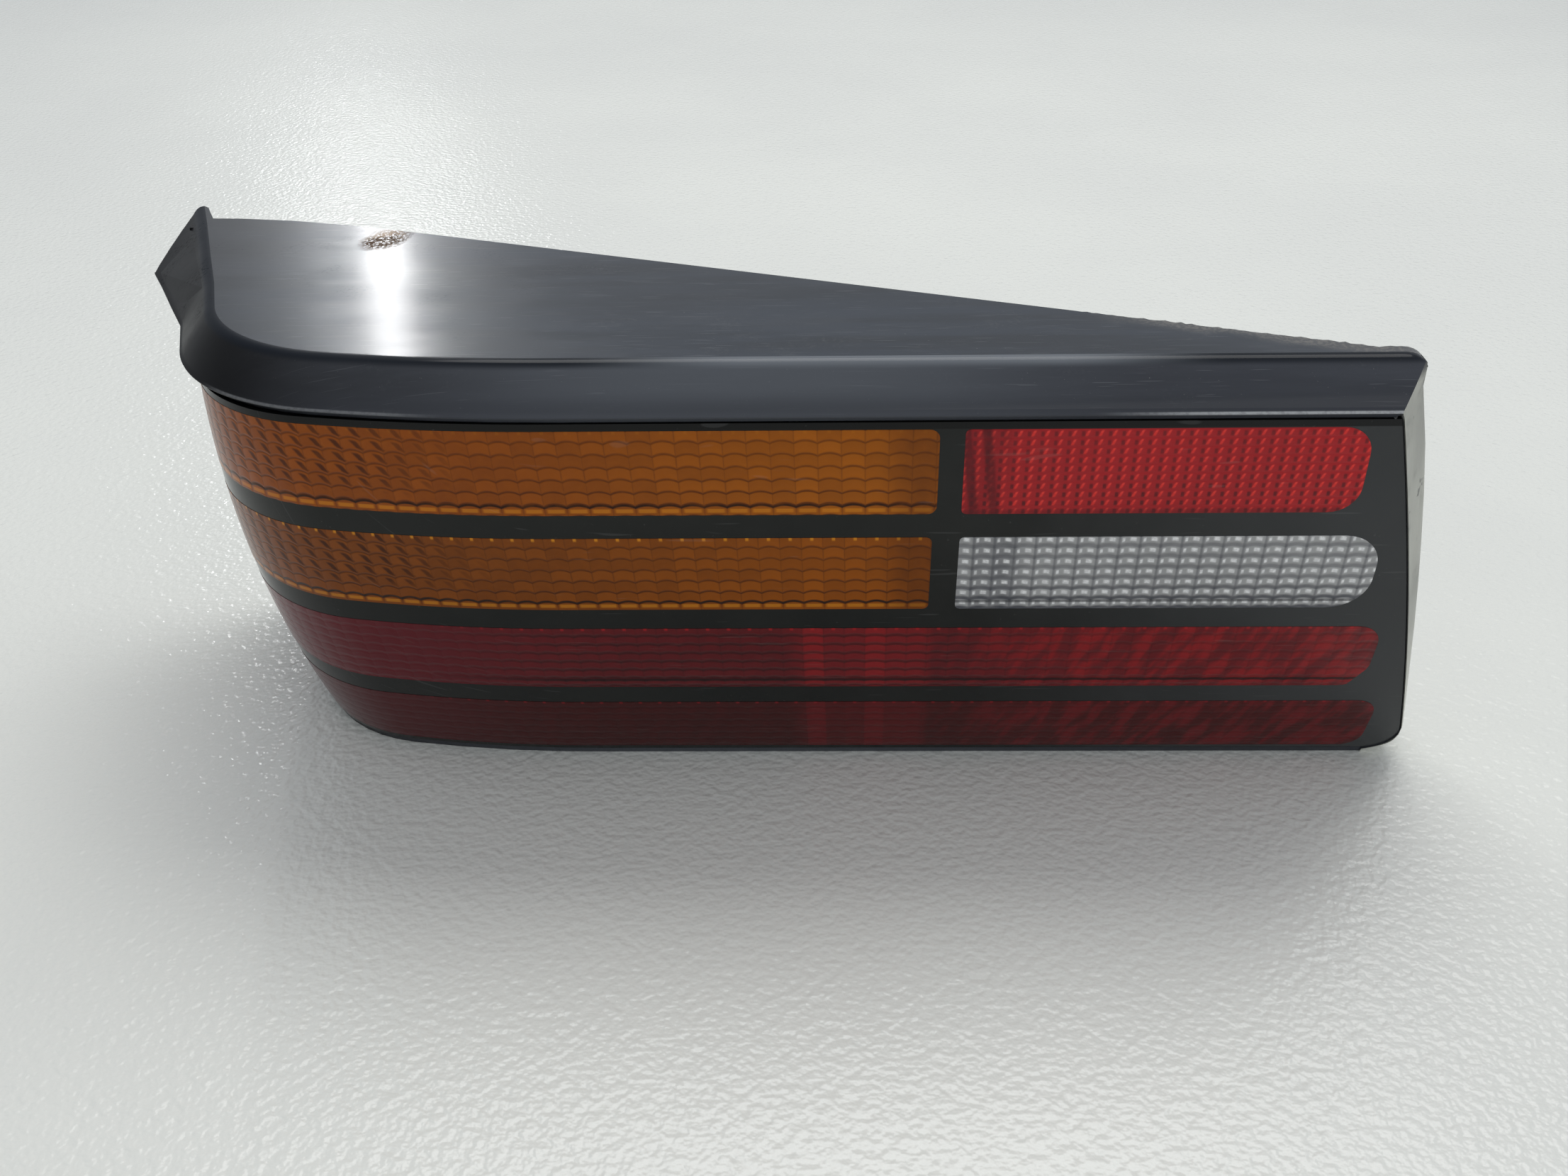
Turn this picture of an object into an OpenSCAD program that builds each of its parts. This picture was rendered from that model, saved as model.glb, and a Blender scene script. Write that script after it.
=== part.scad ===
// Rear lamp cluster for the left-hand rear corner of a car.
// Lengths are in millimetres, +X is right as seen from behind the car, +Y is forward and +Z is up.
// The origin is the middle of the four fixing studs, on the plane where the gasket meets the car body.

/* [Lens face] */
// Height of each coloured window, measured down the lens
window_h = 30; // [29:0.25:31]
// Height of each black bar between two windows
bar_h = 8.8; // [8.2:0.1:9.4]
// Radius of the lens from top to bottom
barrel_r = 413; // [390:1:440]
// Angle by which the lens leans, with its lower edge forward
lean = 13.5; // [13:0.1:14]
// Thickness of the black lens frame
frame_t = 2.5; // [2.2:0.1:2.8]
// Thickness of the coloured plastic behind the frame
colour_t = 2; // [1.8:0.1:2.3]
// Width of the black edge round the coloured windows
edge_w = 13.5; // [12.5:0.25:14.5]
// Pitch of the prism rows inside the lens
prism_pitch = 3.75; // [3.6:0.05:3.9]

/* [Plan shape] */
// Distance from the origin to the right-hand end of the lens at its top
top_right_x = 148; // [145:0.5:151]
// Slope of the right-hand end of the lens, sideways for each unit down
end_slope = 0.245; // [0.23:0.005:0.26]
// Distance from the origin to where the straight rear face begins to curve forward
bend_x = 99; // [97:0.5:101]
// Radius of the slow curve before the corner
bend_r = 420; // [400:5:440]
// Turn of the slow curve
bend_a = 10; // [9.5:0.1:10.5]
// Radius of the corner
corner_r = 60; // [58:0.5:62]
// Angle of the car's side from the rear face
side_a = 71.5; // [71:0.1:72]
// Sideways lean of the corner and the side, outward towards the top
side_lean = 3.3; // [3:0.1:3.6]
// Distance from the gasket plane to the front end of the side
side_end_y = 59; // [58:0.25:60]

/* [Surround] */
// Height of the sloping band above the lens
band_h = 13; // [12.5:0.1:13.5]
// How far the band reaches outward from the top edge
band_run = 10.5; // [10:0.1:11]
// Wall thickness of the surround
wall = 2.5; // [2.3:0.1:2.7]
// Distance from the gasket plane back to the top edge of the band
ridge_y = 75.5; // [75:0.25:76]
// Widening of the band at the front end of the side
ear = 9; // [8:0.25:10]
// Outward spread of the right-hand wall of the surround at its top
flare = 10.5; // [10:0.25:11]

/* [Rear] */
// Spacing of the fixing studs across the car
stud_x = 250; // [249:0.5:251]
// Spacing of the fixing studs from top to bottom
stud_z = 80; // [79:0.5:81]
// Diameter of the fixing studs
stud_d = 6; // [5.8:0.1:6.2]
// Reach of the studs behind the gasket
stud_reach = 22; // [20:0.5:24]
// Thickness of the foam gasket
gasket_t = 6; // [5.5:0.25:6.5]
// Diameter of the bulb glass
glass_d = 25; // [24:0.25:25.5]
// Clearance between seated pieces
gap = 0.3; // [0.25:0.05:0.35]

/* [Hidden] */
$fn = 64;
far = 330;

// The lens face in its own leaning frame: the flat rear face is the plane y = 0.
face_y = -gasket_t - 68.5;
face_z = -1.4;
lens_half = 2 * window_h + 1.5 * bar_h;
lens_t = frame_t + gap + colour_t;
function dir(a) = [-sin(a), -cos(a)];
function along(a) = [-cos(a), sin(a)];
bend_c = [-bend_x, bend_r];
corner_c = bend_c + (bend_r - corner_r) * dir(bend_a);
side_len = 150;

// Height and depth of a point on the flat face, from its distance down the lens.
function face_inset(h) = barrel_r - sqrt(barrel_r * barrel_r - h * h);
function arc_height(w) = -barrel_r * sin(w / barrel_r * 180 / PI);
function level(w) = let(h = arc_height(w)) face_z + face_inset(h) * sin(lean) + h * cos(lean);
function depth(w) = let(h = arc_height(w)) face_y + face_inset(h) * cos(lean) - h * sin(lean);

// How far along the side its front end lies, and where the top edge is there.
side_t = (side_end_y + ridge_y - corner_c[1] + corner_r * cos(side_a)) / sin(side_a);
side_x = corner_c[0] + corner_r * dir(side_a)[0] + side_t * along(side_a)[0];

// Edges of the four window rows, counted from the top.
function row_top(i) = level(-lens_half + i * (window_h + bar_h));
function row_low(i) = level(-lens_half + i * (window_h + bar_h) + window_h - (i == 3 ? 1.8 : 0));
lens_top = level(-lens_half) + 2.4;
lens_low = level(lens_half);
function end_x(z) = top_right_x + (row_top(0) - z) * end_slope;

// The dividing bar between amber and the right-hand windows.
divider_l = 13.7;
divider_r = 21.2;

// The rear of the lamp body and the bulb carrier.
band_z = lens_top + gap + wall - 0.1;
top_z = band_z + band_h;
body_low = lens_low + 3.7;
body_high = top_z - 22;
body_left = -stud_x / 2 - 11;
body_right = stud_x / 2 + 19;
back_y = -gasket_t;
plate_t = 3;
plate_y = back_y + 1;
opening = [[body_left + 32, body_right - 38], [body_low + 18, body_high - 14]];
bulb_cols = [-0.196 * stud_x, 0.244 * stud_x];
middle_x = (bulb_cols[0] + bulb_cols[1]) / 2;
divider_x = (divider_l + divider_r) / 2;
shelf_z = (row_low(1) + row_top(2)) / 2;
bar_z = (row_low(0) + row_top(1)) / 2;
brake_z = opening[1][1] - 13;
reverse_z = shelf_z + 14;
split_z = (brake_z + reverse_z) / 2;
split_y = back_y - 39;
rib_t = 2;
pocket_slope = 0.355;
pocket_y = back_y - 12.7;
tray_y = back_y - 24;
amber_z = (shelf_z + opening[1][1]) / 2 + 1.2;
tail_z = (shelf_z + opening[1][0]) / 2 + 1.2;
bulb_places = [[bulb_cols[0], amber_z], [bulb_cols[1], brake_z], [bulb_cols[1], reverse_z],
  [bulb_cols[0], tail_z], [bulb_cols[1], tail_z]];

// Stations round the plan, from the right-hand end to the front end of the side.
// Each is the angle faced, from straight back towards the side, and a distance along that line.
bend_steps = 4;
corner_steps = 8;
turn_angles = concat([for (i = [0 : bend_steps]) bend_a * i / bend_steps],
  [for (i = [1 : corner_steps]) bend_a + (side_a - bend_a) * i / corner_steps]);
stations = concat([[0, -bend_x - 202]], [for (a = turn_angles) [a, 0]], [[side_a, side_len]]);

// Point on the plan line at a station, moved outward by o.
function plan_point(s, o) = let(a = s[0], c = a <= bend_a ? bend_c : corner_c, r = a <= bend_a ? bend_r : corner_r)
  c + (r + o) * dir(a) + s[1] * along(a);

// The corner and the side are tipped about a point low on the flat face, so they lean out at the top.
lean_pivot = [-bend_x, -60];
function lean_out(p) = let(x = p[0] - lean_pivot[0], z = p[2] - lean_pivot[1])
  [lean_pivot[0] + x * cos(side_lean) - z * sin(side_lean), p[1],
    lean_pivot[1] + x * sin(side_lean) + z * cos(side_lean)];

// Heights at which the face is drawn, in its own leaning frame.
face_steps = 10;
face_hs = [for (k = [0 : face_steps]) -118 + 218 * k / face_steps];
function face_point(s, d, h) =
  let(o = sqrt((barrel_r - d) * (barrel_r - d) - h * h) - barrel_r, p = plan_point(s, o), q = [p[0], p[1], h])
  s[1] < 0 ? q : lean_out(q);

// Skin that follows the whole outer face between two depths below it.
module face_skin(d0, d1) {
  n = 2 * (face_steps + 1);
  points = [for (s = stations) each concat([for (h = face_hs) face_point(s, d1, h)],
    [for (i = [face_steps : -1 : 0]) face_point(s, d0, face_hs[i])])];
  translate([0, face_y, face_z]) rotate([lean, 0, 0]) loft(points, n, len(stations));
}

// Everything outside the face, down to a given depth below it.
module outside_face(d) {
  face_skin(-260, d);
}

// Slab between two heights, cut from a plan shape.
module slab(z0, z1) {
  translate([0, 0, z0]) linear_extrude(z1 - z0) children();
}

// Prism along the car, from an outline drawn across it.
module through(y0, y1) {
  translate([0, y1, 0]) rotate([90, 0, 0]) linear_extrude(y1 - y0) children();
}

// Outline of the lens seen from behind: its right-hand end slopes and its lower corner is round.
// g_low, g_right and g_top move the three edges outward, and r is the radius of the corner.
module rear_shape(g_low, g_right, g_top, r) {
  low = lens_low - g_low;
  cz = low + r;
  cx = end_x(cz) + g_right - r * sqrt(1 + end_slope * end_slope);
  difference() {
    polygon([[-far, lens_top + g_top], [end_x(lens_top + g_top) + g_right, lens_top + g_top],
      [end_x(low) + g_right, low], [-far, low]]);
    difference() {
      translate([cx, low - 1]) square([30, r + 1 + r * end_slope]);
      translate([cx, cz]) circle(r = r);
    }
  }
}

module lens_outline(g) {
  rear_shape(g, g, g, 10 + g);
}

// Round-ended bar shape, its right-hand end rounded by r_end and its left-hand end by r_start.
module bar_outline(x0, x1, z0, z1, r_start, r_end) {
  difference() {
    translate([x0, z0]) square([x1 - x0, z1 - z0]);
    corner_cut(x1, z1, r_end, -1, -1);
    corner_cut(x1, z0, r_end, -1, 1);
    corner_cut(x0, z1, r_start, 1, -1);
    corner_cut(x0, z0, r_start, 1, 1);
  }
}

// What a rounded corner takes off a square one. The signs point from the corner into the shape.
module corner_cut(x, z, r, sx, sz) {
  if (r > 0) difference() {
    translate([x + (sx > 0 ? -1 : -r), z + (sz > 0 ? -1 : -r)]) square([r + 1, r + 1]);
    translate([x + sx * r, z + sz * r]) circle(r = r);
  }
}

// The six windows: two amber, one red, one clear and two wide red ones. g makes each smaller.
module window(name, g) {
  l = -far;
  if (name == "amber_high") bar_outline(l, divider_l - g, row_low(0) + g, row_top(0) - g, 0, 3 - g);
  if (name == "amber_low") bar_outline(l, divider_l - 1 - g, row_low(1) + g, row_top(1) - g, 0, 2 - g);
  if (name == "red_high") bar_outline(divider_r + g, end_x(row_low(0)) - edge_w - 1.3 - g,
    row_low(0) + g, row_top(0) - g, 1.5, 9 - g);
  if (name == "clear") bar_outline(divider_r + g, end_x(row_low(1)) - edge_w - g,
    row_low(1) + g, row_top(1) - g, 1.5, 12 - g);
  if (name == "red_wide") intersection() {
    bar_outline(l, end_x(row_low(2)) - edge_w - 0.5 - g, row_low(2) + g, row_top(2) - g, 0, 8 - g);
    polygon([[l, row_top(2)], [end_x(row_top(2)) + 5, row_top(2)],
      [end_x(row_low(2)) - edge_w - 6 - g, row_low(2)], [l, row_low(2)]]);
  }
  if (name == "red_low") bar_outline(l, end_x(row_low(3)) - edge_w - 0.7 - g, row_low(3) + g, row_top(3) - g, 0, 7 - g);
}

// Part of a skin that shows through an outline drawn across the car.
module showing(d0, d1, y_end) {
  intersection() {
    face_skin(d0, d1);
    through(-150, y_end) children();
  }
}

lens_end_y = side_end_y - wall - gap;

module lens_frame() {
  color("#26292a") difference() {
    showing(0, frame_t, lens_end_y) lens_outline(0);
    for (name = ["amber_high", "amber_low", "red_wide", "red_low"])
      through(-160, lens_end_y - edge_w) window(name, 0);
    for (name = ["red_high", "clear"]) through(-160, 0) window(name, 0);
  }
}

// Coloured lens: plugs that fill its windows, on a sheet that lies behind the black frame.
module coloured_lens(names, y_end) {
  for (name = names) showing(0, frame_t + gap + 0.2, y_end - edge_w - 0.1) window(name, 0.1);
  difference() {
    showing(frame_t + gap, lens_t, y_end - 2) children();
    for (name = names) prism_rows(name);
  }
}

// Long hollows across the back of a window, which make the rows of prisms inside the lens.
module prism_rows(name) {
  row = name == "amber_high" || name == "red_high" ? 0 : name == "amber_low" || name == "clear" ? 1 :
    name == "red_wide" ? 2 : 3;
  rows = floor((window_h - 4) / prism_pitch);
  for (k = [0 : rows - 1]) {
    w = -lens_half + row * (window_h + bar_h) + 2 + (k + 0.5) * prism_pitch;
    r = prism_pitch * 0.62;
    sink = lens_t + r - 0.36 * prism_pitch;
    translate([-bend_x + 2, depth(w) + sink * cos(lean), level(w) + sink * sin(lean)])
      rotate([0, 90, 0]) cylinder(r = r, h = far, $fn = 24);
  }
}

module back_sheet(x0, x1, z0, z1) {
  intersection() {
    lens_outline(-1);
    translate([x0, z0]) square([x1 - x0, z1 - z0]);
  }
}

module lens_amber() {
  color("#b8600c") coloured_lens(["amber_high", "amber_low"], lens_end_y)
    back_sheet(-far, divider_x - gap, shelf_z + gap, far);
}

module lens_red_upper() {
  color("#b01822") coloured_lens(["red_high"], 0)
    back_sheet(divider_x + gap, far, bar_z + gap, far);
}

module lens_clear() {
  color("#b9bcc0", 0.8) coloured_lens(["clear"], 0)
    back_sheet(divider_x + gap, far, shelf_z + gap, bar_z - gap);
}

module lens_red_lower() {
  color("#6d181c") coloured_lens(["red_wide", "red_low"], lens_end_y)
    back_sheet(-far, far, -far, shelf_z - gap);
}

// Bead of sealant all round, between the lens and the rim of the lamp body.
module lens_seal() {
  color("#1c1c1c") difference() {
    showing(lens_t + 0.1, lens_t + 1.1, lens_end_y - 6) lens_outline(-1.2);
    through(-160, lens_end_y - 9) lens_outline(-3.2);
  }
}

seal_back = lens_t + 1.2;

// Rear shape of the lamp body, seen from behind.
module rear_outline(g) {
  polygon([[body_left + g, body_low + g], [body_right - g, body_low + g], [body_right - g, body_high - 21 - g],
    [body_right - 26 - g, body_high - g], [body_left + g, body_high - g]]);
}

// Plan of the pocket behind the side of the lens. Its back slants, and its end is deeper.
module pocket_plan(g) {
  x0 = body_left + 36;
  x1 = side_x + 25.9 - g;
  x2 = side_x - 52;
  end_y = lens_end_y - 1 - g;
  polygon([[x0, -120], [x0, pocket_y - g], [x1, pocket_y - g + (x0 - x1) * pocket_slope], [x1, end_y],
    [x2, end_y], [x2, -120]]);
}

module body_bulk(g) {
  through(-120, tray_y - g) lens_outline(-gap - g);
  through(tray_y - g - 1, back_y - g) rear_outline(g);
  slab(body_low + g, body_high + 3 - g) pocket_plan(g);
}

module lamp_body() {
  color("#c9c9c4") difference() {
    union() {
      difference() {
        body_bulk(0);
        body_bulk(wall);
      }
      intersection() {
        body_bulk(0.5);
        chamber_ribs();
      }
      lugs();
    }
    outside_face(seal_back);
    through(back_y - 5, back_y + 5) translate([opening[0][0], opening[1][0]])
      square([opening[0][1] - opening[0][0], opening[1][1] - opening[1][0]]);
    stud_holes(collar + 0.1);
  }
}

// Walls that part the five lamp chambers.
module chamber_ribs() {
  translate([divider_x - rib_t / 2, -150, -far / 2]) cube([rib_t, 150 + back_y - 0.5, far]);
  translate([-far, -150, shelf_z - rib_t / 2]) cube([2 * far, 150 + back_y - 0.5, rib_t]);
  translate([divider_x, split_y, split_z - rib_t / 2]) cube([far, back_y - 0.5 - split_y, rib_t]);
  rise = atan((bar_z - split_z) / (split_y - face_y));
  translate([divider_x, split_y, split_z]) rotate([-rise, 0, 0])
    translate([0, -120, -rib_t / 2]) cube([far, 120, rib_t]);
}

// Lugs on the back of the body that the latches grip.
module lugs() {
  for (x = latch_x, s = [-1, 1]) translate([x - latch_w / 2, back_y - 1, plate_mid + s * (plate_half + 2.5) - 1.5])
    cube([latch_w, 1 + plate_y + plate_t - back_y, 3]);
}

latch_x = [bulb_cols[0] - 11, bulb_cols[1] + 21];
latch_w = 14;
plate_edge = 4;
plate_mid = (opening[1][0] + opening[1][1]) / 2;
plate_half = (opening[1][1] - opening[1][0]) / 2 + plate_edge;

module stud_holes(g) {
  for (x = [-1, 1], z = [-1, 1]) translate([x * stud_x / 2, 0, z * stud_z / 2])
    rotate([-90, 0, 0]) cylinder(r = stud_d / 2 + g, h = 200, center = true);
}

// Soft foam ring that seals the lamp to the car body.
module body_gasket() {
  color("#3a3a3a") difference() {
    through(back_y + 0.05, 0) intersection() {
      rear_outline(1);
      translate([body_left + 2, body_low + 1]) square([body_right - body_left - 4, body_high - body_low]);
    }
    through(back_y - 5, 5) translate([body_left + 24, body_low + 7])
      square([body_right - body_left - 52, body_high - body_low - 11]);
    stud_holes(collar + 0.5);
  }
}

// Each stud has a head inside the body and a collar that passes through the body and the gasket.
collar = 1.2;

module fixing_studs() {
  color("#b4b0a4") for (x = [-1, 1], z = [-1, 1])
    translate([x * stud_x / 2, back_y - wall, z * stud_z / 2]) rotate([-90, 0, 0]) {
      cylinder(d = stud_d, h = wall - back_y + stud_reach);
      translate([0, 0, -0.5]) cylinder(r = stud_d / 2 + collar, h = wall - back_y + 0.45);
      translate([0, 0, -2]) cylinder(r = 6.5, h = 2);
    }
}

module carrier_seal() {
  color("#202020") difference() {
    through(back_y + 0.05, plate_y - 0.05) translate([opening[0][0] - 4, opening[1][0] - 4])
      square([opening[0][1] - opening[0][0] + 8, opening[1][1] - opening[1][0] + 8]);
    through(back_y - 5, 5) translate([opening[0][0], opening[1][0]])
      square([opening[0][1] - opening[0][0], opening[1][1] - opening[1][0]]);
  }
}

socket_r = 8.6;
socket_wall = 0.7;
socket_len = 17;
plate_back = plate_y + plate_t;
strip_t = 0.6;
connector_w = 38;
connector_h = 18;
connector_x = middle_x;
connector_z = plate_mid + 4;
connector_len = 24;
post_h = 6;
vent_places = [[middle_x, tail_z], [middle_x, opening[1][1] - 9]];

// Moulded plate that closes the back of the lamp and carries the bulbs.
module bulb_carrier() {
  color("#d8d6cf") difference() {
    union() {
      through(plate_y, plate_back) translate([opening[0][0] - 4, opening[1][0] - 4])
        square([opening[0][1] - opening[0][0] + 8, opening[1][1] - opening[1][0] + 8]);
      for (p = bulb_places) for (s = [-1, 1]) post(p[0] + s * 14, p[1], post_h);
    }
    for (p = bulb_places) translate([p[0], 0, p[1]]) rotate([-90, 0, 0])
      cylinder(r = socket_r + 0.1, h = 60, center = true);
    for (p = vent_places) translate([p[0], 0, p[1]]) rotate([-90, 0, 0])
      cylinder(r = 3.1, h = 60, center = true);
  }
}

module post(x, z, h) {
  translate([x, plate_back, z]) rotate([-90, 0, 0]) cylinder(r = 1.8, h = h);
}

// Rolled sleeves that hold the bulb caps.
module bulb_sockets() {
  color("#c8c2a8") for (p = bulb_places) translate([p[0], plate_back + 3, p[1]]) rotate([90, 0, 0])
    difference() {
      cylinder(r = socket_r, h = socket_len);
      translate([0, 0, -1]) cylinder(r = socket_r - socket_wall, h = socket_len + 2);
    }
}

// Bayonet bulb with a pear-shaped glass. Its cap sits in the socket.
module bulb() {
  cap_r = 7.5;
  cap_len = 15;
  glass_r = glass_d / 2;
  neck = 10;
  rotate([90, 0, 0]) rotate_extrude() {
    square([2.4, 1.5]);
    translate([0, 1]) square([cap_r, cap_len]);
    translate([0, cap_len]) square([cap_r - 1.2, neck]);
    intersection() {
      translate([0, cap_len + neck + 5]) circle(r = glass_r);
      translate([0, cap_len]) square([glass_r, 60]);
    }
  }
}

module bulb_at(i) {
  translate([bulb_places[i][0], plate_back + 2, bulb_places[i][1]]) bulb();
}

module indicator_bulb() { color("#e8a850") bulb_at(0); }
module brake_bulb() { color("#e4e4e4") bulb_at(1); }
module reversing_bulb() { color("#e4e4e4") bulb_at(2); }
module tail_bulb() { color("#e4e4e4") bulb_at(3); }
module fog_bulb() { color("#e4e4e4") bulb_at(4); }

// Earth strip that joins all five sockets.
module ground_strip() {
  rail = 9;
  color("#c7a44e") difference() {
    through(plate_back + 0.05, plate_back + 0.05 + strip_t) {
      for (c = [0, 1]) {
        top = c == 0 ? bulb_places[0][1] : bulb_places[1][1];
        translate([bulb_cols[c] - rail / 2, bulb_places[3][1]]) square([rail, top - bulb_places[3][1]]);
      }
      translate([bulb_cols[0], bulb_places[3][1] - rail / 2 - 10]) square([bulb_cols[1] - bulb_cols[0], 5]);
      for (c = [0, 1]) translate([bulb_cols[c] - 3, bulb_places[3][1] - rail / 2 - 10]) square([6, 12]);
      for (p = bulb_places) translate(p) circle(r = 11);
    }
    for (p = bulb_places) translate([p[0], 0, p[1]]) rotate([-90, 0, 0])
      cylinder(r = socket_r + 0.05, h = 60, center = true);
  }
}

// Spring strips that reach the tip of each bulb and lead to the connector.
module feed_strips() {
  y0 = plate_back + post_h + 0.05;
  color("#c7a44e") for (p = bulb_places) translate([0, y0, 0]) {
    translate([p[0] - 16, 0, p[1] - 2.5]) cube([32, strip_t, 5]);
    translate([p[0], 0.01, p[1]]) rotate([90, 0, 0]) cylinder(r = 2, h = y0 - plate_back - 2.1);
  }
}

module connector_shell() {
  color("#3c3d3f") difference() {
    translate([connector_x - connector_w / 2, plate_back + 0.05, connector_z - connector_h / 2])
      cube([connector_w, connector_len, connector_h]);
    translate([connector_x - connector_w / 2 + 2, plate_back + 4, connector_z - connector_h / 2 + 2])
      cube([connector_w - 4, connector_len, connector_h - 4]);
    pins(0.05);
  }
}

module pins(g) {
  for (i = [-2.5 : 1 : 2.5]) translate([connector_x + i * 5 - 1.4 - g, plate_back + 2, connector_z - 0.4 - g])
    cube([2.8 + 2 * g, 14, 0.8 + 2 * g]);
}

module connector_pins() {
  color("#d2c9a8") pins(0);
}

// Spring clips that hold the carrier to the body: each lies on the plate and hooks over a lug.
module carrier_latches() {
  h = plate_half + 4 + gap;
  y0 = plate_back + 0.1;
  line = [[y0, h - 14], [y0 + 1.2, h - 14], [y0 + 1.2, h + 1.2], [y0 - 2.6, h + 1.2], [y0 - 2.6, h], [y0, h]];
  color("#9fa3a6") for (x = latch_x, s = [-1, 1]) translate([x - latch_w / 2 + 2, 0, plate_mid])
    rotate([90, 0, 90]) linear_extrude(latch_w - 4) polygon([for (p = line) [p[0], s * p[1]]]);
}

// Mushroom-shaped breather caps in the carrier.
module vent_caps() {
  color("#26282a") for (p = vent_places) translate([p[0], plate_back, p[1]]) rotate([-90, 0, 0]) {
    translate([0, 0, -plate_t - 1]) cylinder(r = 3, h = plate_t + 2);
    translate([0, 0, 0.05]) cylinder(r = 6, h = 3);
  }
}

// Section of the band: outer face, lower lip and the channel behind, outward from the top edge.
// Its upper flange tapers inside the flat top.
reach_in = 12;
ridge_e = 1.6;
function band_line(ridge, in, out, z_top, z_low) =
  let(run = [out - ridge, z_low - z_top], e = ridge_e * run / norm(run), i0 = [ridge - 0.4 * wall, z_top - wall - 0.4],
    i1 = [out - wall * 1.4, z_low + 0.1])
  [[ridge - in, z_top - 0.1 * in], [ridge - ridge_e, z_top], [ridge, z_top] + (e - [ridge_e, 0]) / 4,
    [ridge, z_top] + e, [out, z_low], [out, z_low - 0.8], [out - 1.4, z_low - wall + 0.1],
    [-reach_in, z_low - wall + 0.1], [-reach_in, z_low + 0.1], i1, i0 + 0.1 * (i1 - i0), i0 + [0.1, -0.25],
    i0 + [-0.9, 0.1], [ridge - in, z_top - wall + 0.05 * in]];
corner_x = end_x(band_z) + gap;
mitre_x = corner_x + 8;
tab_end = side_t + 17.1;
tab_cut = 30;
tab_out = 2.5;

// Band above the lens: its right-hand end is mitred, and along the car's side it widens
// towards its front end, which is cut at a slant.
module band() {
  line = band_line(0, reach_in, band_run, top_z, band_z);
  n = len(line);
  side = band_line(tab_out, 3.2, band_run + ear, top_z, band_z);
  mitred = [for (q = band_line(0, 3, band_run, top_z, band_z)) [corner_x + (mitre_x - corner_x) * (q[1] - band_z) / band_h, -q[0], q[1]]];
  turned = [for (a = turn_angles, q = line) let(p = plan_point([a, 0], q[0])) [p[0], p[1], q[1]]];
  before = [for (q = line) let(p = plan_point([side_a, 22], q[0])) [p[0], p[1], q[1]]];
  last = [for (q = side) let(t = tab_end - (top_z - q[1]) / band_h * tab_cut, p = plan_point([side_a, t], q[0]))
    [p[0], p[1], q[1]]];
  translate([0, -ridge_y, 0]) loft(concat(mitred, turned, before, last), n, len(turn_angles) + 3);
}

// Solid through a row of like sections. Each has n points, and point i lies across from point n - 1 - i.
module loft(points, n, rows) {
  sides = [for (k = [0 : rows - 2], i = [0 : n - 1])
    let(j = (i + 1) % n, a = k * n + i, b = k * n + j, c = (k + 1) * n + j, d = (k + 1) * n + i)
      each [[a, b, c], [a, c, d]]];
  z = (rows - 1) * n;
  first = [for (i = [0 : n / 2 - 2]) [n - 1 - i, n - 2 - i, i + 1, i]];
  last = [for (i = [0 : n / 2 - 2]) [z + i, z + i + 1, z + n - 2 - i, z + n - 1 - i]];
  polyhedron(points, concat(first, last, sides), convexity = 6);
}

// Flat top: its outer line is the top edge of the band. Its other edge is straight behind the boot
// corner, then curves to the side, and ends in a small tab.
module top_plan() {
  middles = [for (i = [1 : len(turn_angles) - 1]) (turn_angles[i - 1] + turn_angles[i]) / 2];
  in = ridge_e + 0.3;
  ridge = [for (s = concat([for (a = middles) [a, 0]], [[side_a, 24]])) plan_point(s, -in) - [0, ridge_y]];
  tab = [[-0.4, tab_out - in], [-2.5, -1], [-16.3, -2.3], [-20.1, -12.1], [-29.5, -30.5], [-43.6, -52.2],
    [-61.1, -74.8]];
  polygon(concat([[mitre_x - 0.4, in - ridge_y]], ridge,
    [for (q = tab) plan_point([side_a, tab_end + q[0]], q[1]) - [0, ridge_y]],
    [[mitre_x - 12.3, 6.3 - ridge_y], [mitre_x - 6.2, 2.9 - ridge_y]]));
}

// How far forward the right-hand wall reaches: less towards the top, where it drops away.
function end_back(z) = min(tray_y + 2, -ridge_y + 3 + (top_z - z) * 2.2);

// Inner and outer edges of the right-hand wall at a height. They run down the end of the lens and
// round its lower corner, and the wall spreads less and less on its way down.
foot_z = lens_low + 10;
foot_r = 10 + gap;
foot_x = end_x(foot_z) + gap - foot_r * sqrt(1 + end_slope * end_slope);
turn_z = foot_z + foot_r * end_slope / sqrt(1 + end_slope * end_slope);
function taper(z) = max(0, min(flare + 1, flare * (0.56 + 0.747 * z / lens_half)));
function spread(z) = max(wall, taper(z));
function round_x(z, r) = foot_x + sqrt(max(0, r * r - (z - foot_z) * (z - foot_z)));
function inner_x(z) = z > turn_z ? end_x(z) + gap : round_x(z, foot_r);
function outer_x(z) = z > turn_z ? end_x(z) + gap + spread(z) : round_x(z, foot_r + wall);

// How far forward of its inner edge the wall's outer edge lies.
function sweep(z) = 2.13 * min(spread(z), outer_x(z) - inner_x(z)) - 0.55 * taper(z);

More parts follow.
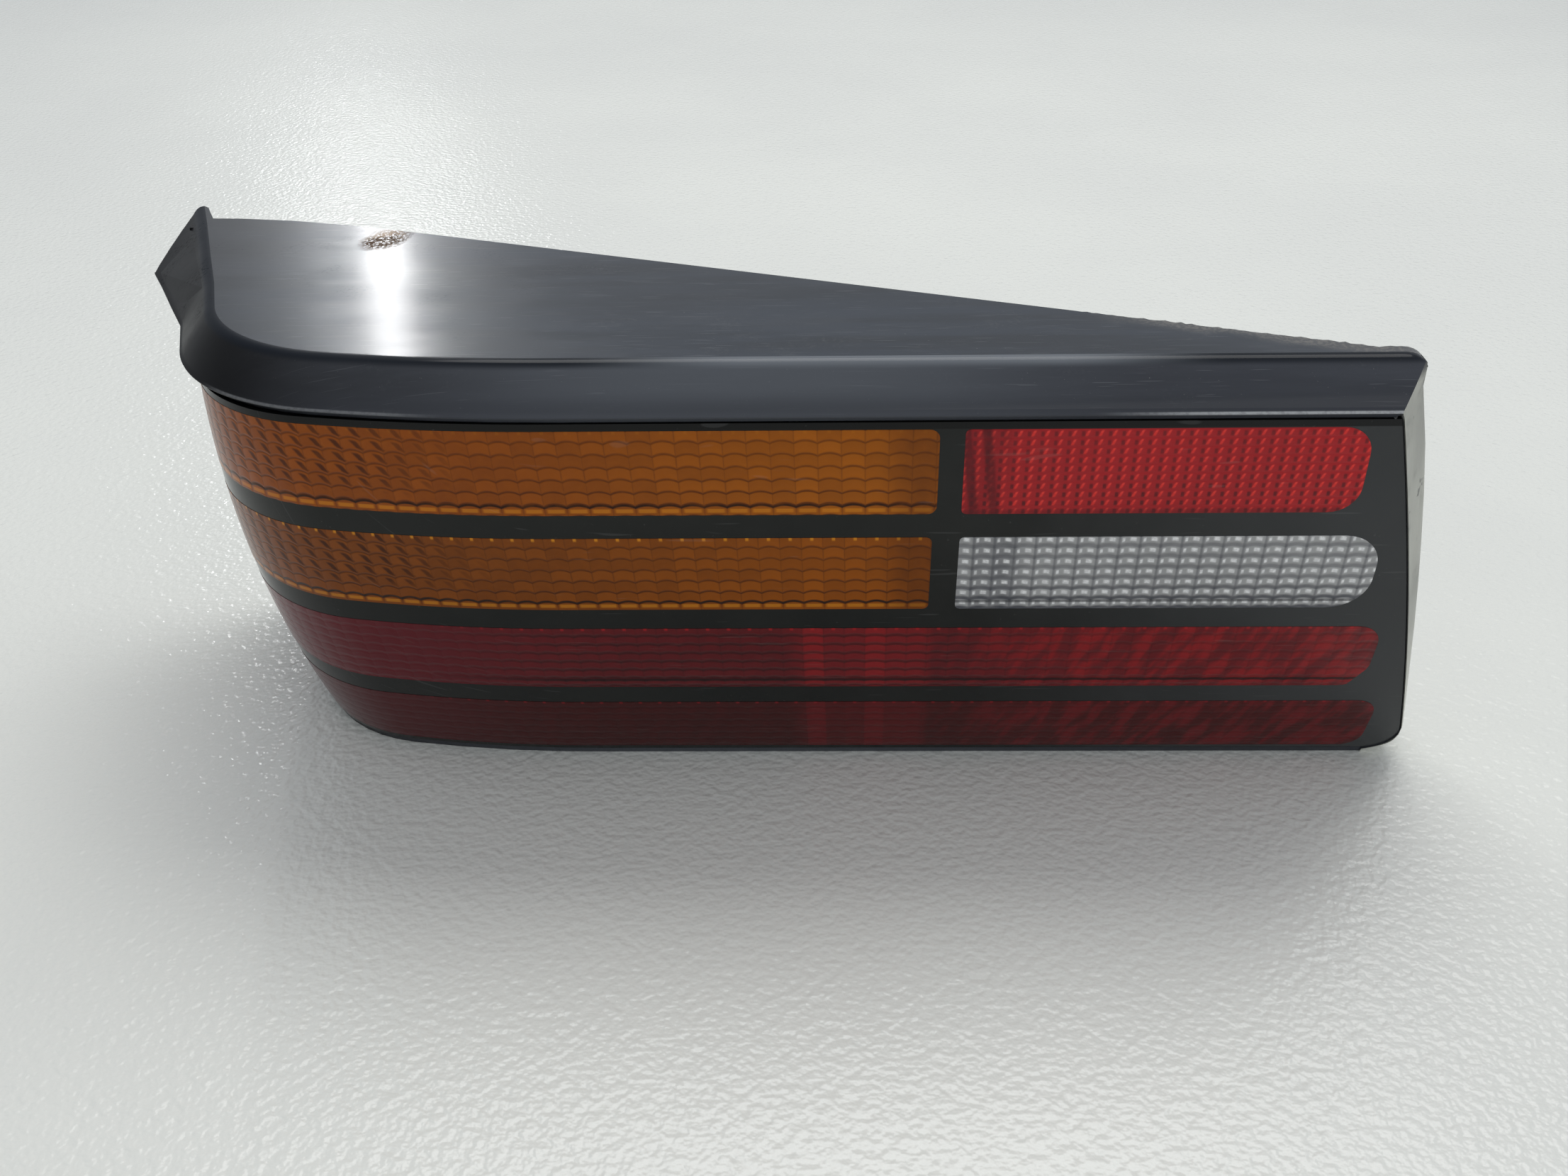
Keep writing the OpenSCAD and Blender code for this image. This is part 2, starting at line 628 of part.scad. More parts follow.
// Right-hand wall, which flares outward behind the edge of the lens and then runs straight back.
module end_wall() {
  low_w = lens_half + 1.094 * (gap + wall - 0.3);
  turn_w = lens_half - 13;
  ws = concat([for (k = [0 : 7]) -lens_half - 2.2 + k * (turn_w + lens_half + 2.2) / 8],
    [for (k = [0 : 7]) turn_w + (low_w - turn_w) * sin(90 * k / 7)]);
  lens_part = [for (w = ws) let(z = level(w)) [inner_x(z), depth(w) - 0.4, z, outer_x(z) - inner_x(z), sweep(z)]];
  band_part = [[mitre_x - 0.4, -ridge_y + 0.3, top_z - 1.1, 1.6, 1.4],
    [corner_x - 0.4, -ridge_y - band_run + 0.3, band_z, spread(band_z) + 0.4, sweep(lens_top) - 0.3]];
  rows = concat(band_part, lens_part);
  points = [for (r = rows) let(t = min(wall, r[3] - 0.3)) each [[r[0], r[1], r[2]],
    [r[0] + r[3], r[1] + r[4], r[2]], [r[0] + r[3], end_back(r[2]), r[2]],
    [r[0] + r[3] - t, end_back(r[2]), r[2]], [r[0] + r[3] - t, r[1] + r[4] + 1, r[2]],
    [r[0] + 0.02, r[1] + min(r[4] + 0.9, 4), r[2]]]];
  loft([for (i = [len(points) - 1 : -1 : 0]) points[i]], 6, len(rows));
}

// The corner where the flat top, the band and the right-hand wall meet is rounded, with a thicker
// wall inside it.
corner_round = 8;
module corner_arc(r) {
  translate([mitre_x - 5.45, top_z - corner_round]) circle(r = r);
}

module corner_off() {
  through(-ridge_y - 14, -ridge_y + 16) difference() {
    translate([mitre_x - 5.45, top_z - corner_round]) square([corner_round + 6, corner_round + 2]);
    corner_arc(corner_round);
  }
}

module corner_fill() {
  through(-ridge_y + 3.1, -ridge_y + 6.6) intersection() {
    difference() {
      corner_arc(corner_round - 0.05);
      corner_arc(corner_round - 2.8);
    }
    translate([mitre_x - 5, top_z - 4.9]) square([corner_round, corner_round]);
  }
}

module surround() {
  low_z = lens_low - gap - wall;
  foot_y = depth(lens_half + wall);
  color("#2b2e31") {
    difference() {
      union() {
        slab(top_z - wall, top_z) top_plan();
        band();
        end_wall();
      }
      corner_off();
    }
    corner_fill();
    difference() {
      intersection() {
        slab(low_z, low_z + wall) polygon([[side_x + 36, foot_y - 18], [foot_x + 0.3, foot_y - 18],
          [foot_x + 0.3, foot_y + 3.6], [foot_x + 30, foot_y + 3.6], [foot_x + 30, tray_y + 2],
          [body_left + 76, tray_y + 2], [side_x + 25.9, side_end_y], [side_x - 18, side_end_y],
          [side_x - 18, -20]]);
        through(-150, 80) rear_shape(gap + wall, gap + wall - 0.4, 30, foot_r + wall);
      }
      outside_face(0.2);
    }
    difference() {
      slab(low_z, top_z - wall + 0.5) translate([side_x - 52, side_end_y - wall]) square([77.9, wall]);
      outside_face(0.2);
    }
  }
}

surround();
lens_frame();
lens_amber();
lens_red_upper();
lens_clear();
lens_red_lower();
lens_seal();
lamp_body();
body_gasket();
fixing_studs();
bulb_carrier();
carrier_seal();
carrier_latches();
bulb_sockets();
ground_strip();
feed_strips();
indicator_bulb();
brake_bulb();
reversing_bulb();
tail_bulb();
fog_bulb();
connector_shell();
connector_pins();
vent_caps();
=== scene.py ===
import math
import random
import bpy
import bmesh
import numpy as np
from mathutils import Vector, Matrix


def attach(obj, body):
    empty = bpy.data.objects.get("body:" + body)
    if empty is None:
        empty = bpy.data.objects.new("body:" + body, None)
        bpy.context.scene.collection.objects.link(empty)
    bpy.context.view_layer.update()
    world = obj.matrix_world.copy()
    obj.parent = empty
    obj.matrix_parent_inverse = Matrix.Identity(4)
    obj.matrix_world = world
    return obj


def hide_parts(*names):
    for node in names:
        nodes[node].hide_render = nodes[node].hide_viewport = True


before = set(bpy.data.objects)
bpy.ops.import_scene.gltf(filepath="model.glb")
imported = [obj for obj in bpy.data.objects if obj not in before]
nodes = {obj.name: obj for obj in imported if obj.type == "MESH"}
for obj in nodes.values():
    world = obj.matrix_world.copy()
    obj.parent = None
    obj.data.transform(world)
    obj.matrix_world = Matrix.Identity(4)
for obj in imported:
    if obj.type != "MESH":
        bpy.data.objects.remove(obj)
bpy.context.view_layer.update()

MM = 0.001
for packed in nodes.values():
    packed.data.materials.clear()

# shape of the lamp, in millimetres
LEAN = math.radians(13.5)                        # the lens leans forward at its foot
FACE_Y, FACE_Z, BARREL = -74.5, -1.4, 413.0      # middle of the face, and radius of its barrel
BEND_X, BEND_R, CORNER_R = 99.0, 420.0, 60.0     # wide bend, then the tight corner
BEND_A, SIDE_A = math.radians(10), math.radians(71.5)
SIDE_LEAN, LEAN_EASE, LEAN_Z = math.radians(3.3), 20.0, -60.0
BEND_C = np.array([-BEND_X, BEND_R])
CORNER_C = BEND_C + (BEND_R - CORNER_R) * np.array([-math.sin(BEND_A), -math.cos(BEND_A)])
ROW, BAR, LAST_ROW_CUT = 30.0, 8.8, 1.8
HALF = 2 * ROW + 1.5 * BAR
BAND_H, BAND_RUN, WALL = 13.0, 10.5, 2.5
RIDGE_Y, EAR, FLARE, EDGE = 75.5, 9.0, 10.5, 13.5
END_X, END_SLOPE, END_Y = 148.0, 0.245, 56.2     # right end of the lens, and end of its side face
FRAME_R, TOP_LIP = 10.0, 2.4
U_BEND = BEND_X + BEND_R * BEND_A
U_SIDE = U_BEND + CORNER_R * (SIDE_A - BEND_A)


def plan(u, o):
    """Plan point at arc length u from the flat face towards the side, moved outward by o."""
    u, o = np.broadcast_arrays(np.asarray(u, float), np.asarray(o, float))
    a1 = np.clip((u - BEND_X) / BEND_R, 0, BEND_A)
    a2 = BEND_A + np.clip((u - U_BEND) / CORNER_R, 0, SIDE_A - BEND_A)
    bend = u <= U_BEND
    a = np.where(bend, a1, a2)
    cx = np.where(bend, BEND_C[0], CORNER_C[0])
    cy = np.where(bend, BEND_C[1], CORNER_C[1])
    r = np.where(bend, BEND_R, CORNER_R) + o
    t = np.where(u < BEND_X, u - BEND_X, np.where(u > U_SIDE, u - U_SIDE, 0))
    return cx - r * np.sin(a) - t * np.cos(a), cy - r * np.cos(a) + t * np.sin(a)


def face(u, h, d):
    """Point of the lens at depth d below its outer face, in the part's frame."""
    u, h, d = np.broadcast_arrays(np.asarray(u, float), np.asarray(h, float), np.asarray(d, float))
    x, y = plan(u, np.sqrt((BARREL - d) ** 2 - h ** 2) - BARREL)
    # from the bend on, the face also leans sideways about a line near its foot
    k = np.clip((u + LEAN_EASE) / (BEND_X + LEAN_EASE), 0, 1)
    lx, lz = -(h - LEAN_Z) * math.sin(SIDE_LEAN), (h - LEAN_Z) * (math.cos(SIDE_LEAN) - 1)
    far = u > BEND_X
    sx = (x + BEND_X) * (math.cos(SIDE_LEAN) - 1)
    sz = (x + BEND_X) * math.sin(SIDE_LEAN)
    x, h = x + k * lx + np.where(far, sx, 0), h + k * lz + np.where(far, sz, 0)
    return np.stack([x, FACE_Y + y * math.cos(LEAN) - h * math.sin(LEAN),
                     FACE_Z + y * math.sin(LEAN) + h * math.cos(LEAN)], -1)


def height_at(u, z, d):
    """Where on the line u, measured along the leaning face, its height is z."""
    h = (np.asarray(z, float) - FACE_Z) / math.cos(LEAN) + 0 * np.asarray(u, float)
    for _ in range(7):
        a, b = face(u, h, d)[..., 2], face(u, h + 0.5, d)[..., 2]
        h = np.clip(h + (z - a) * 0.5 / (b - a), -140, 120)
    return h


def face_at(u, z, d):
    """Point of the lens on the line u where its height is z."""
    return face(u, height_at(u, z, d), d)


def level(w):
    """Height of a line on the flat face at distance w down from the middle, along the barrel."""
    h = -BARREL * math.sin(w / BARREL)
    return FACE_Z + (BARREL - math.sqrt(BARREL ** 2 - h * h)) * math.sin(LEAN) + h * math.cos(LEAN)


def row_top(i):
    return level(-HALF + i * (ROW + BAR))


def row_low(i):
    return level(-HALF + i * (ROW + BAR) + ROW - (LAST_ROW_CUT if i == 3 else 0))


LENS_TOP, LENS_LOW = level(-HALF) + TOP_LIP, level(HALF)


def end_x(z):
    """Right end of the lens at height z."""
    return END_X + (row_top(0) - z) * END_SLOPE


def slope_points(a, b, c, steps):
    """Points of the soft corner from a to c round b."""
    return [(1 - s) ** 2 * a + 2 * s * (1 - s) * b + s * s * c for s in steps]


# meshes
def link(name, mesh, mat):
    ob = bpy.data.objects.new(name, mesh)
    bpy.context.scene.collection.objects.link(ob)
    mesh.materials.append(mat)
    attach(ob, "root")
    return ob


def mesh_piece(name, verts, faces, mat, uvs=None):
    me = bpy.data.meshes.new(name)
    me.from_pydata([tuple(float(c) * MM for c in v) for v in verts], [], faces)
    if uvs is not None:
        layer = me.uv_layers.new(name="UVMap")
        for loop in me.loops:
            layer.data[loop.index].uv = uvs[loop.vertex_index]
    me.validate()
    me.update()
    me.polygons.foreach_set("use_smooth", [True] * len(me.polygons))
    return link(name, me, mat)


def grid_faces(m, n, flip=False):
    """Quads of a grid of m rows with n points each."""
    quads = [(i * n + j, i * n + j + 1, (i + 1) * n + j + 1, (i + 1) * n + j)
             for i in range(m - 1) for j in range(n - 1)]
    return [q[::-1] for q in quads] if flip else quads


def sheet_faces(m, n):
    """Closed sheet: an outer grid, an inner one after it, and the rim between them."""
    inner = [tuple(m * n + k for k in q) for q in grid_faces(m, n, flip=True)]
    rim = ([i * n for i in range(m)] + [(m - 1) * n + j for j in range(1, n)]
           + [i * n + n - 1 for i in range(m - 2, -1, -1)] + list(range(n - 2, 0, -1)))
    edge = [(b, a, a + m * n, b + m * n) for a, b in zip(rim, rim[1:] + rim[:1])]
    return grid_faces(m, n) + inner + edge


def smooth_by_angle(ob, angle):
    bpy.ops.object.select_all(action="DESELECT")
    ob.hide_viewport = False
    ob.select_set(True)
    bpy.context.view_layer.objects.active = ob
    bpy.ops.object.shade_smooth_by_angle(angle=math.radians(angle))
    ob.select_set(False)


# materials
class Tree:
    """Small helper that builds a material's nodes."""

    def __init__(self, name):
        self.mat = bpy.data.materials.new(name)
        self.mat.use_nodes = True
        self.nt = self.mat.node_tree
        self.bsdf = self.nt.nodes["Principled BSDF"]
        self.coords = None

    def new(self, kind, **values):
        node = self.nt.nodes.new(kind)
        for k, v in values.items():
            setattr(node, k, v)
        return node

    def put(self, value, socket):
        if isinstance(value, bpy.types.NodeSocket):
            self.nt.links.new(value, socket)
        else:
            socket.default_value = value

    def set(self, **values):
        for k, v in values.items():
            self.put(v, self.bsdf.inputs[k.replace("_", " ")])
        return self.mat

    # arithmetic
    def math(self, op, *values, clamp=False):
        node = self.new("ShaderNodeMath", operation=op, use_clamp=clamp)
        for value, socket in zip(values, node.inputs):
            self.put(value, socket)
        return node.outputs[0]

    def fold(self, op, values):
        total = values[0]
        for value in values[1:]:
            total = self.math(op, total, value)
        return total

    def add(self, *values):
        return self.fold("ADD", values)

    def mul(self, *values):
        return self.fold("MULTIPLY", values)

    def max(self, *values):
        return self.fold("MAXIMUM", values)

    def sub(self, a, b):
        return self.math("SUBTRACT", a, b)

    def div(self, a, b):
        return self.math("DIVIDE", a, b)

    def floor(self, a):
        return self.math("FLOOR", a)

    def fract(self, a):
        return self.math("FRACT", a)

    def gain(self, x, factor, start):
        """x * factor + start."""
        return self.add(self.mul(x, factor), start)

    def step(self, x, lo, hi):
        """Smooth rise from 0 at lo to 1 at hi. lo may be the larger one."""
        node = self.new("ShaderNodeMapRange", interpolation_type="SMOOTHSTEP")
        for value, socket in zip((x, lo, hi, 0.0, 1.0), node.inputs):
            self.put(value, socket)
        return node.outputs[0]

    def near(self, x, centre, outer, inner):
        """1 within inner of the centre, and 0 from outer on."""
        return self.step(self.math("ABSOLUTE", self.sub(x, centre)), outer, inner)

    # colours
    def mix(self, fac, a, b):
        node = self.new("ShaderNodeMix", data_type="RGBA")
        for value, i in ((fac, 0), (a, 6), (b, 7)):
            self.put((*value, 1) if isinstance(value, tuple) else value, node.inputs[i])
        return node.outputs[2]

    def lay(self, col, over, fac, amount):
        """Lays the colour over on col, as strongly as fac times amount."""
        return self.mix(self.mul(fac, amount), col, over)

    # coordinates and noise
    def coord(self, name):
        if self.coords is None:
            self.coords = self.new("ShaderNodeTexCoord")
        return self.coords.outputs[name]

    def xyz(self, kind="Object"):
        node = self.new("ShaderNodeSeparateXYZ")
        self.put(self.coord(kind), node.inputs[0])
        return node.outputs

    def vec(self, x, y, z=0.0):
        node = self.new("ShaderNodeCombineXYZ")
        for value, socket in zip((x, y, z), node.inputs):
            self.put(value, socket)
        return node.outputs[0]

    def mapped(self, **values):
        """Object coordinates, moved, turned and scaled."""
        node = self.new("ShaderNodeMapping")
        self.put(self.coord("Object"), node.inputs["Vector"])
        for k, v in values.items():
            node.inputs[k].default_value = v
        return node.outputs[0]

    def noise(self, scale, detail=4.0, rough=0.55, vector=None, stretch=None):
        if stretch is not None:
            vector = self.mapped(Scale=stretch)
        node = self.new("ShaderNodeTexNoise")
        self.put(self.coord("Object") if vector is None else vector, node.inputs["Vector"])
        for k, v in (("Scale", scale), ("Detail", detail), ("Roughness", rough)):
            node.inputs[k].default_value = v
        return node.outputs["Fac"]

    def bump(self, height, strength, distance):
        node = self.new("ShaderNodeBump")
        for k, v in (("Strength", strength), ("Distance", distance), ("Height", height)):
            self.put(v, node.inputs[k])
        return node.outputs[0]


def lin(r, g, b):
    """sRGB bytes to linear colour."""
    def one(c):
        c = c / 255.0
        return c / 12.92 if c <= 0.04045 else ((c + 0.055) / 1.055) ** 2.4
    return one(r), one(g), one(b)


def scaled(colour, k, lift=0.0):
    return tuple(min(1.0, c * k + lift) for c in colour)


SCRATCH_LENGTH, SCRATCH_WIDTH = 42.0, 4200.0     # noise scale along a scratch and across it


def scratches(t, angles=(0.35, 1.2, 2.5), keep=0.80, seed=0.0):
    """Sparse straight scratches: noise drawn out along a few directions, where it is highest."""
    lines = []
    for k, angle in enumerate(angles):
        drawn = t.mapped(Location=(seed + k * 1.7, seed * 0.3, 0), Rotation=(0, 0, angle + seed),
                         Scale=(SCRATCH_LENGTH * (1 + 0.4 * k), SCRATCH_WIDTH, SCRATCH_LENGTH))
        lines.append(t.step(t.noise(1.0, 0.0, vector=drawn), keep, keep + 0.05))
    return t.max(*lines)


def plastic(name, colour, rough, var, bump, scale, wear=0.0):
    t = Tree(name)
    n = t.noise(35.0, 5.0)
    fine = t.noise(scale, 3.0)
    col = t.mix(t.step(n, 0.3, 0.7), scaled(colour, 1 - var * 1.6), scaled(colour, 1 + var * 2.0, 0.04 * var))
    r = t.gain(n, rough * 0.35, rough * 0.82)
    if wear:
        marks = scratches(t, seed=len(name) * 0.37)
        col = t.lay(col, scaled(colour, 1.3, 0.16), marks, wear)
        r = t.add(r, t.mul(marks, 0.25))
    return t.set(Base_Color=col, Roughness=r, Normal=t.bump(t.gain(fine, 0.5, n), bump, 0.0004))


def metal(name, colour, rough, brushed):
    t = Tree(name)
    lines = t.noise(160.0, 3.0, stretch=brushed)
    col = t.mix(t.step(t.noise(45.0, 4.0), 0.25, 0.75), scaled(colour, 0.72), colour)
    return t.set(Base_Color=col, Roughness=t.gain(lines, 0.2, rough * 0.8),
                 Normal=t.bump(lines, 0.12, 0.0002), Metallic=1.0)


def glass(name, tint):
    """Bulb glass with a metal cap at its foot."""
    t = Tree(name)
    n = t.noise(60.0, 3.0)
    cap = t.step(t.xyz()[1], -0.0195, -0.0185)
    return t.set(Base_Color=t.mix(cap, tint, lin(168, 160, 132)),
                 Roughness=t.add(t.mul(n, 0.12), t.mul(cap, 0.22)), Metallic=t.mul(cap, 0.95),
                 Transmission_Weight=t.mul(t.sub(1.0, cap), 0.9), Normal=t.bump(n, 0.04, 0.0004), IOR=1.45)


# the glossy black moulding. The band's base colours are painted lighter than the top's, though both are one
# moulding, as painted light, and the top's are tinted blue as a painted sky reflection
BAND_LOOK = {"dark": (0.0450, 0.0475, 0.0560), "light": (0.0680, 0.0720, 0.0850),
             "broad": (0.058, 0.064, 0.078), "broad_by": 0.35, "dust_by": 0.10, "marks_by": 0.16,
             "rough": 0.24, "cloud_relief": 0.25, "specular": 0.04, "coat_rough": 0.10}
TOP_LOOK = {"dark": (0.0085, 0.0128, 0.0205), "light": (0.0180, 0.0255, 0.0395),
            "broad": (0.020, 0.023, 0.031), "broad_by": 0.3, "dust_by": 0.16, "marks_by": 0.30,
            "rough": 0.22, "cloud_relief": 0.9, "specular": 0.20, "coat_rough": 0.15}


def black_shell(name, look, details):
    """Glossy black moulding: smears along its length, dust, and a few straight scratches."""
    t = Tree(name)
    broad, cloud, fine = t.noise(7.0, 4.0), t.noise(55.0, 5.0), t.noise(900.0, 2.0)
    smear = t.noise(1.0, 5.0, 0.6, stretch=(9.0, 95.0, 95.0))
    col = t.mix(t.step(smear, 0.34, 0.68), look["dark"], look["light"])
    col = t.lay(col, look["broad"], t.step(broad, 0.35, 0.65), look["broad_by"])
    dust = t.mul(t.step(cloud, 0.50, 0.72), t.step(fine, 0.50, 0.68))
    col = t.lay(col, (0.20, 0.205, 0.21), dust, look["dust_by"])
    col = t.lay(col, (0.28, 0.28, 0.27), t.step(t.noise(1300.0, 1.0), 0.76, 0.80), 0.35)
    marks = scratches(t, (0.9, 1.35, 2.2), 0.79, 0.2)
    col = t.lay(col, (0.30, 0.31, 0.33), marks, look["marks_by"])
    rough = t.add(t.mul(smear, 0.16), t.mul(dust, 0.20), look["rough"])
    col, rough, coat = details(t, col, rough, cloud, fine)
    height = t.sub(t.add(t.mul(fine, 0.06), t.mul(cloud, look["cloud_relief"])), t.mul(marks, 0.2))
    return t.set(Base_Color=col, Roughness=rough, Normal=t.bump(height, 0.05, 0.0004),
                 Specular_IOR_Level=look["specular"], Coat_Weight=coat,
                 Coat_Roughness=look["coat_rough"], Coat_IOR=1.42)


PATCH_AT, PATCH_SIZE = (-0.1760, 0.0370), (0.0085, 0.0135)


def top_details(t, col, rough, cloud, fine):
    x, y, _ = t.xyz()
    cloudy = t.step(t.noise(26.0, 5.0, 0.6, stretch=(0.45, 1.0, 1.0)), 0.47, 0.66)
    col = t.lay(col, (0.040, 0.047, 0.061), cloudy, 0.42)
    rough = t.add(rough, t.mul(cloudy, 0.08))
    col = t.lay(col, (0.009, 0.010, 0.013), t.step(x, -0.195, -0.235), 0.6)
    # brown dust on the far edge, where the light catches it
    dx, dy = (t.div(t.sub(p, at), size) for p, at, size in zip((x, y), PATCH_AT, PATCH_SIZE))
    r2 = t.add(t.mul(dx, dx), t.mul(dy, dy))
    patch = t.mul(t.step(t.add(r2, t.mul(cloud, 3.0)), 2.9, 1.7),
                  t.step(t.noise(820.0, 5.0, 0.7), 0.42, 0.50))
    brown = t.mix(t.step(cloud, 0.44, 0.58), (0.10, 0.060, 0.034), (0.50, 0.38, 0.28))
    col = t.lay(col, brown, patch, 0.9)
    rough = t.add(rough, t.mul(patch, 0.6))
    coat = t.mul(t.sub(1.0, patch), t.sub(0.31, t.mul(t.step(x, -0.178, -0.222), 0.20)))
    # pale torn skin along the right-hand part of the far edge
    (xa, ya), (xb, yb) = back_edge()[-4:-2]
    across = math.hypot(xb - xa, yb - ya)
    d = t.add(t.mul(t.sub(x, xa * MM), (ya - yb) / across), t.mul(t.sub(y, ya * MM), (xb - xa) / across),
              t.mul(t.sub(cloud, 0.5), 0.012))
    torn = t.mul(t.step(d, -0.0075, -0.0008), t.step(x, 0.058, 0.085),
                 t.gain(t.step(fine, 0.42, 0.62), 0.55, 0.45))
    col = t.lay(col, (0.30, 0.28, 0.25), torn, 0.42)
    return col, t.add(rough, t.mul(torn, 0.2)), coat


def band_details(t, col, rough, cloud, fine):
    x, _, z = t.xyz()
    # painted sheen over the middle of the band, and painted shade towards its left end and towards its lower
    # edge
    col = t.lay(col, (0.128, 0.139, 0.157), t.near(x, -0.045, 0.125, 0.02), 0.62)
    col = t.lay(col, (0.016, 0.0165, 0.018), t.step(x, -0.085, -0.185), 0.5)
    col = t.lay(col, (0.038, 0.041, 0.049), t.step(z, 0.0835, 0.0775), 0.55)
    # the ear and the left end are painted nearly black as shade, with little gloss
    far = t.step(x, -0.160, -0.208)
    col = t.lay(col, (0.0065, 0.0065, 0.0070), far, 0.9)
    coat = t.mul(t.sub(1.0, t.mul(far, 0.92)), 0.36)
    # the ridge is dark, the top's own colour, with a painted highlight along its middle stretch
    crest = t.step(z, 0.0868, 0.0886)
    shine = t.mul(t.step(x, -0.10, -0.04), t.step(x, 0.100, 0.045))
    col = t.mix(crest, col, t.mix(shine, (0.0085, 0.0112, 0.0165), (0.150, 0.163, 0.182)))
    rough = t.add(rough, t.mul(crest, t.step(x, 0.04, 0.09), 0.35))
    # the lower edge carries a painted highlight towards both ends, broken by noise
    ends = t.max(t.mul(t.step(x, 0.055, 0.100), 0.95),
                 t.mul(t.step(x, -0.130, -0.155), t.step(x, -0.214, -0.200), 0.30))
    edge = t.mul(t.step(z, 0.0765, 0.0761), t.step(z, 0.0755, 0.0757), ends,
                 t.gain(t.step(fine, 0.3, 0.6), 0.3, 0.7))
    return t.mix(edge, col, (0.40, 0.41, 0.42)), rough, coat


def lens_black(name):
    """Black of the lens frame: painted lighter towards the right as a reflection, and darkest in the gap under
    the band as painted shadow.
    """
    t = Tree(name)
    n = t.noise(28.0, 5.0)
    x, _, z = t.xyz()
    col = t.mix(t.step(n, 0.3, 0.7), (0.0115, 0.0125, 0.0115), (0.0165, 0.0175, 0.0160))
    # painted reflection: lighter towards the right
    col = t.lay(col, (0.058, 0.061, 0.063), t.step(t.add(x, t.mul(n, 0.05)), 0.03, 0.20), 0.8)
    # painted shadow of the band's lip on the strip above the top row
    col = t.lay(col, (0.003, 0.003, 0.003), t.step(z, 0.0708, 0.0713), 0.85)
    col = t.lay(col, (0.20, 0.20, 0.19), t.step(t.noise(700.0, 2.0), 0.70, 0.80), 0.15)
    col = t.lay(col, (0.2, 0.2, 0.2), scratches(t, seed=2.2, keep=0.81), 0.12)
    return t.set(Base_Color=col, Roughness=t.gain(n, 0.08, 0.10), Normal=t.bump(n, 0.03, 0.0008),
                 Specular_IOR_Level=0.20)


def pale_wall(name):
    """Pale grey moulding of the right-hand wall, with chips and scratches."""
    t = Tree(name)
    n, cloud, fine = t.noise(18.0, 5.0), t.noise(90.0, 5.0), t.noise(600.0, 3.0)
    _, y, z = t.xyz()
    col = t.mix(t.step(n, 0.3, 0.7), lin(150, 150, 143), lin(186, 186, 176))
    col = t.lay(col, lin(120, 120, 116), t.step(cloud, 0.56, 0.70), 0.35)
    chips = t.mul(t.step(t.noise(170.0, 2.0), 0.70, 0.73), t.step(t.noise(12.0, 1.0), 0.48, 0.60))
    col = t.lay(col, (0.02, 0.02, 0.02), chips, 0.85)
    col = t.lay(col, lin(214, 214, 208), scratches(t, seed=3.3, keep=0.78), 0.4)
    col = t.lay(col, lin(226, 226, 214), t.step(z, 0.02, -0.04), 0.75)
    col = t.mix(t.step(t.gain(cloud, 0.002, z), 0.0815, 0.0868), col, (0.022, 0.024, 0.028))
    # the wall turns dark again where it runs forward
    col = t.lay(col, (0.035, 0.037, 0.04), t.step(t.gain(n, 0.02, y), -0.045, -0.012), 0.75)
    height = t.sub(t.gain(fine, 0.3, cloud), t.mul(chips, 1.2))
    return t.set(Base_Color=col, Roughness=t.gain(cloud, 0.2, 0.36), Normal=t.bump(height, 0.15, 0.0005))


# the coloured lens
class Prism:
    """Sockets that the lens styles share: the distance along the lens and down the window, in
    millimetres, and the place inside one prism. bow is how far a prism's line arches."""

    def __init__(self, t, px, py, bow):
        u, v, _ = t.xyz("UV")
        self.u, self.v = t.mul(u, 100.0), t.mul(v, 100.0)
        self.cu = t.div(self.u, px)
        self.fu = t.fract(self.cu)
        self.su = t.gain(self.fu, 2.0, -1.0)
        self.arch = t.sub(1.0, t.mul(self.su, self.su))
        down = self.v
        if bow:
            wobble = t.mul(t.sub(t.noise(60.0, 2.0), 0.5), 0.5)
            down = t.add(self.v, t.mul(self.arch, bow * py), wobble)
        self.cv = t.div(down, py)
        self.fv = t.fract(self.cv)
        self.fall = t.sub(ROW, self.v)
        self.soft = t.step(t.noise(14.0, 3.0), 0.3, 0.7)
        self.column = t.floor(self.cu)
        self.cell = t.vec(self.column, t.floor(self.cv))

    def dome(self, t, line):
        return t.gain(self.arch, 0.5, t.sub(1.0, line))


